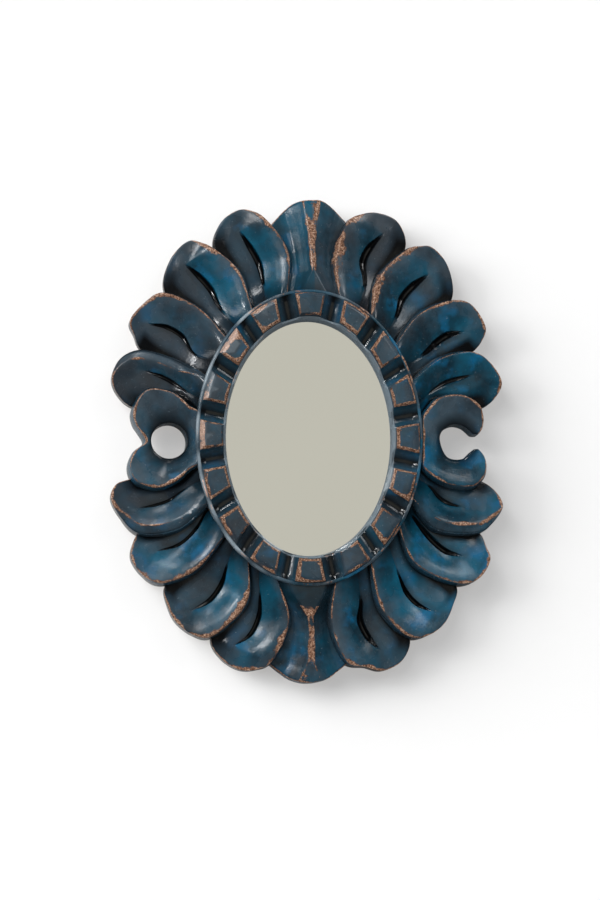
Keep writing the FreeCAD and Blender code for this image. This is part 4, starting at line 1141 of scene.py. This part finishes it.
# The insets between which the bead is most rubbed, and how near to bare wood it is there and beside it; then
# the same for the lip and the wall below it, and for the blocks' upright sides outside these insets
BEAD_CROWN, BEAD_WORN, BEAD_SIDE_WORN = (0.5, 2.0), 1.15, 1.9
LIP_EDGE, LIP_WORN, INNER_WORN = 23.8, 1.4, 2.2
BLOCK_UPRIGHTS, UPRIGHT_WORN = (3.1, 22.0), 1.3
# The slate grey of the bead: its middle, how much it drifts, how fast and in which slice of the noise, and
# how much paler the left side is. The paler left side and, in part, the drift's pale patches are painted
# highlight.
BEAD_SLATE, BEAD_DRIFT, BEAD_DRIFTS_PER_MM, BEAD_SLICE = 0.7, 1.6, 0.07, 4.0
BEAD_PAINTED_HIGHLIGHT, BEAD_HIGHLIGHT_MM = 1.1, 70.0
INNER_SLATE = 1.8
BLOCK_DUSK, BLOCK_SLATE, SCOOP_SLATE = 0.6, 0.5, 0.1
# Grime and painted shade in the cut between two blocks, darkest at its middle, and the share over which they
# fade
SCOOP_GRIME_AND_SHADE, SCOOP_GRIME_AND_SHADE_SHARE = 0.85, 0.9
# The gouge cut between two blocks: its floor, the bow of its section and the rise at its sides; then how
# much it rises at the bead and sinks at the glass, and over what width
SCOOP_FLOOR = 29.0
SCOOP_BOW, SCOOP_RISE = 0.985, 7.1 / 0.83
SCOOP_TO_BEAD, SCOOP_BEAD_WIDTH = 2.0, 4.0
SCOOP_TO_GLASS, SCOOP_GLASS_START, SCOOP_GLASS_WIDTH = 0.8, 16.0, 6.3
# The inner wall's lip dips between the blocks to this height
LIP_FLOOR, LIP_RISE, LIP_END = 27.8, 5.0, 24.1
# How far in each block is rubbed from its outer edge, clockwise from the top, and how fast that fades
BEVEL_WEAR = (3.9, 4.6, 3.8, 4.2, 3.9, 4.4, 3.8, 4.8, 4.0, 4.5, 5.4, 4.4, 6.6, 6.8, 7.2, 6.2)
RUBBED_EDGE = 0.85
# How near to bare wood a block's edges are and how much that varies, the same for its outer bevel, and in
# the cut beside it, where paint comes back over this many mm
EDGE_WORN, EDGE_VARIES = 0.25, 1.3
OUTER_WORN, OUTER_VARIES = 0.45, 0.4
SCOOP_WORN, SCOOP_FADE = 0.9, 0.8
# The slate that the outer bevel gains with each mm of wear, and what is taken off that. Only on the
# widest-worn upper-left blocks does it pass 1.2 and turn paint and wood pale: a painted glare on their
# bevels.
BEVEL_SLATE_AND_GLARE, BEVEL_SLATE_AND_GLARE_LESS = 0.28, 0.35
# Steps through the noise that give each block and each of its edges a wear of its own
BLOCK_SHIFT, BEVEL_SHIFT = 5.37, 2.71
OVAL_STEPS = 1440


def oval_lengths(inset):
    """Running length along the oval at an inset, for the angle steps round it."""
    across, up = RING_HALF_WIDTH / MM - inset, RING_HALF_HEIGHT / MM - inset
    turn = 2 * math.pi / OVAL_STEPS
    runs = [0.0]
    for step in range(OVAL_STEPS):
        angle = turn * (step + 0.5)
        runs.append(runs[-1] + math.hypot(across * math.cos(angle), up * math.sin(angle)) * turn)
    return runs


def on_oval(inset, runs, length):
    """The point at a length round the oval from its top, clockwise."""
    length %= runs[-1]
    low, high = 0, OVAL_STEPS
    while high - low > 1:
        middle = (low + high) // 2
        if runs[middle] <= length:
            low = middle
        else:
            high = middle
    step = low + (length - runs[low]) / (runs[high] - runs[low])
    angle = 2 * math.pi * step / OVAL_STEPS
    across, up = RING_HALF_WIDTH / MM - inset, RING_HALF_HEIGHT / MM - inset
    return across * math.sin(angle), up * math.cos(angle)


def block_ring():
    """The bead, the blocks with the cuts between them, and the inner wall, as one closed band."""
    lengths = [oval_lengths(inset) for inset, height, part in RING_ROWS]
    columns = BLOCKS * len(COLUMN_OFFSETS)
    gap = HALF_PERIOD - HALF_BLOCK

    def shape(column, row):
        row %= len(RING_ROWS)
        inset, height, part = RING_ROWS[row]
        block, number = divmod(column % columns, len(COLUMN_OFFSETS))
        offset = COLUMN_OFFSETS[number]
        side = abs(offset)
        away = (HALF_PERIOD - side) / gap
        half = lengths[row][-1] / BLOCKS / 2
        if side <= HALF_BLOCK:
            shift = offset * (half - gap) / HALF_BLOCK
        else:
            shift = math.copysign(half - (HALF_PERIOD - side), offset)
        x, z = on_oval(inset, lengths[row], half * 2 * block + shift)
        grime, dusk, slate = 0.0, BLOCK_DUSK, BLOCK_SLATE
        if part == 0:
            worn, dusk = (BEAD_WORN if BEAD_CROWN[0] < inset < BEAD_CROWN[1] else BEAD_SIDE_WORN), 0.0
            drift = noise.noise(Vector((x, z, BEAD_SLICE)) * BEAD_DRIFTS_PER_MM)
            # Painted highlight: the bead's pale patches in part, and its paler left side
            slate = BEAD_SLATE + BEAD_DRIFT * drift + BEAD_PAINTED_HIGHLIGHT * ease(-x / BEAD_HIGHLIGHT_MM)
        elif part == 2:
            if side > HALF_BLOCK and inset < LIP_END:
                height = min(height, LIP_FLOOR + LIP_RISE * away ** 2)
            worn, dusk, slate = (LIP_WORN if inset < LIP_EDGE else INNER_WORN), 0.0, INNER_SLATE
        elif side > HALF_BLOCK:
            scoop = SCOOP_FLOOR + SCOOP_RISE * (1 - math.sqrt(max(0.0, 1 - (away * SCOOP_BOW) ** 2)))
            scoop += SCOOP_TO_BEAD * max(0.0, 1 - (inset - BLOCK_START) / SCOOP_BEAD_WIDTH)
            scoop -= SCOOP_TO_GLASS * max(0.0, (inset - SCOOP_GLASS_START) / SCOOP_GLASS_WIDTH)
            height = min(height, scoop)
            # Grime and painted shade, darkest in the middle of the cut
            grime = SCOOP_GRIME_AND_SHADE * (1 - ease(away / SCOOP_GRIME_AND_SHADE_SHARE))
            slate = SCOOP_SLATE
            worn = SCOOP_WORN + (side - HALF_BLOCK) / SCOOP_FADE
        else:
            if side > HALF_FLAT:
                height = min(height, BLOCK_HEIGHT - (side - HALF_FLAT) * END_SLOPE)
            edges = (side - HALF_FLAT, BEVEL_WEAR[block] - inset, inset - INNER_BEVEL)
            nearest = edges.index(max(edges))
            ways = nearest if nearest else math.copysign(3, offset)
            varied = noise.noise(Vector((block * BLOCK_SHIFT, ways * BEVEL_SHIFT, 0.5)))
            worn = EDGE_WORN + EDGE_VARIES * varied + max(0.0, -max(edges)) / RUBBED_EDGE
            if nearest == 1:
                worn = OUTER_WORN + OUTER_VARIES * varied + max(0.0, -max(edges)) / RUBBED_EDGE
                # On the upper-left blocks this pales the bevel: painted glare
                slate = max(slate, BEVEL_SLATE_AND_GLARE * BEVEL_WEAR[block] - BEVEL_SLATE_AND_GLARE_LESS)
            if inset < BLOCK_UPRIGHTS[0] or inset > BLOCK_UPRIGHTS[1]:
                worn = UPRIGHT_WORN
        return Vector((x * MM, -height * MM, z * MM)), {
            "worn": worn, "grime": grime, "dusk": dusk, "slate": slate}

    piece = grid_piece("ring_of_blocks", columns, len(RING_ROWS), shape)
    bpy.ops.object.mode_set(mode="EDIT")
    merge_seams()
    bpy.ops.mesh.normals_make_consistent(inside=False)
    bpy.ops.object.mode_set(mode="OBJECT")
    return piece


finish_carving(block_ring(), "block_ring")
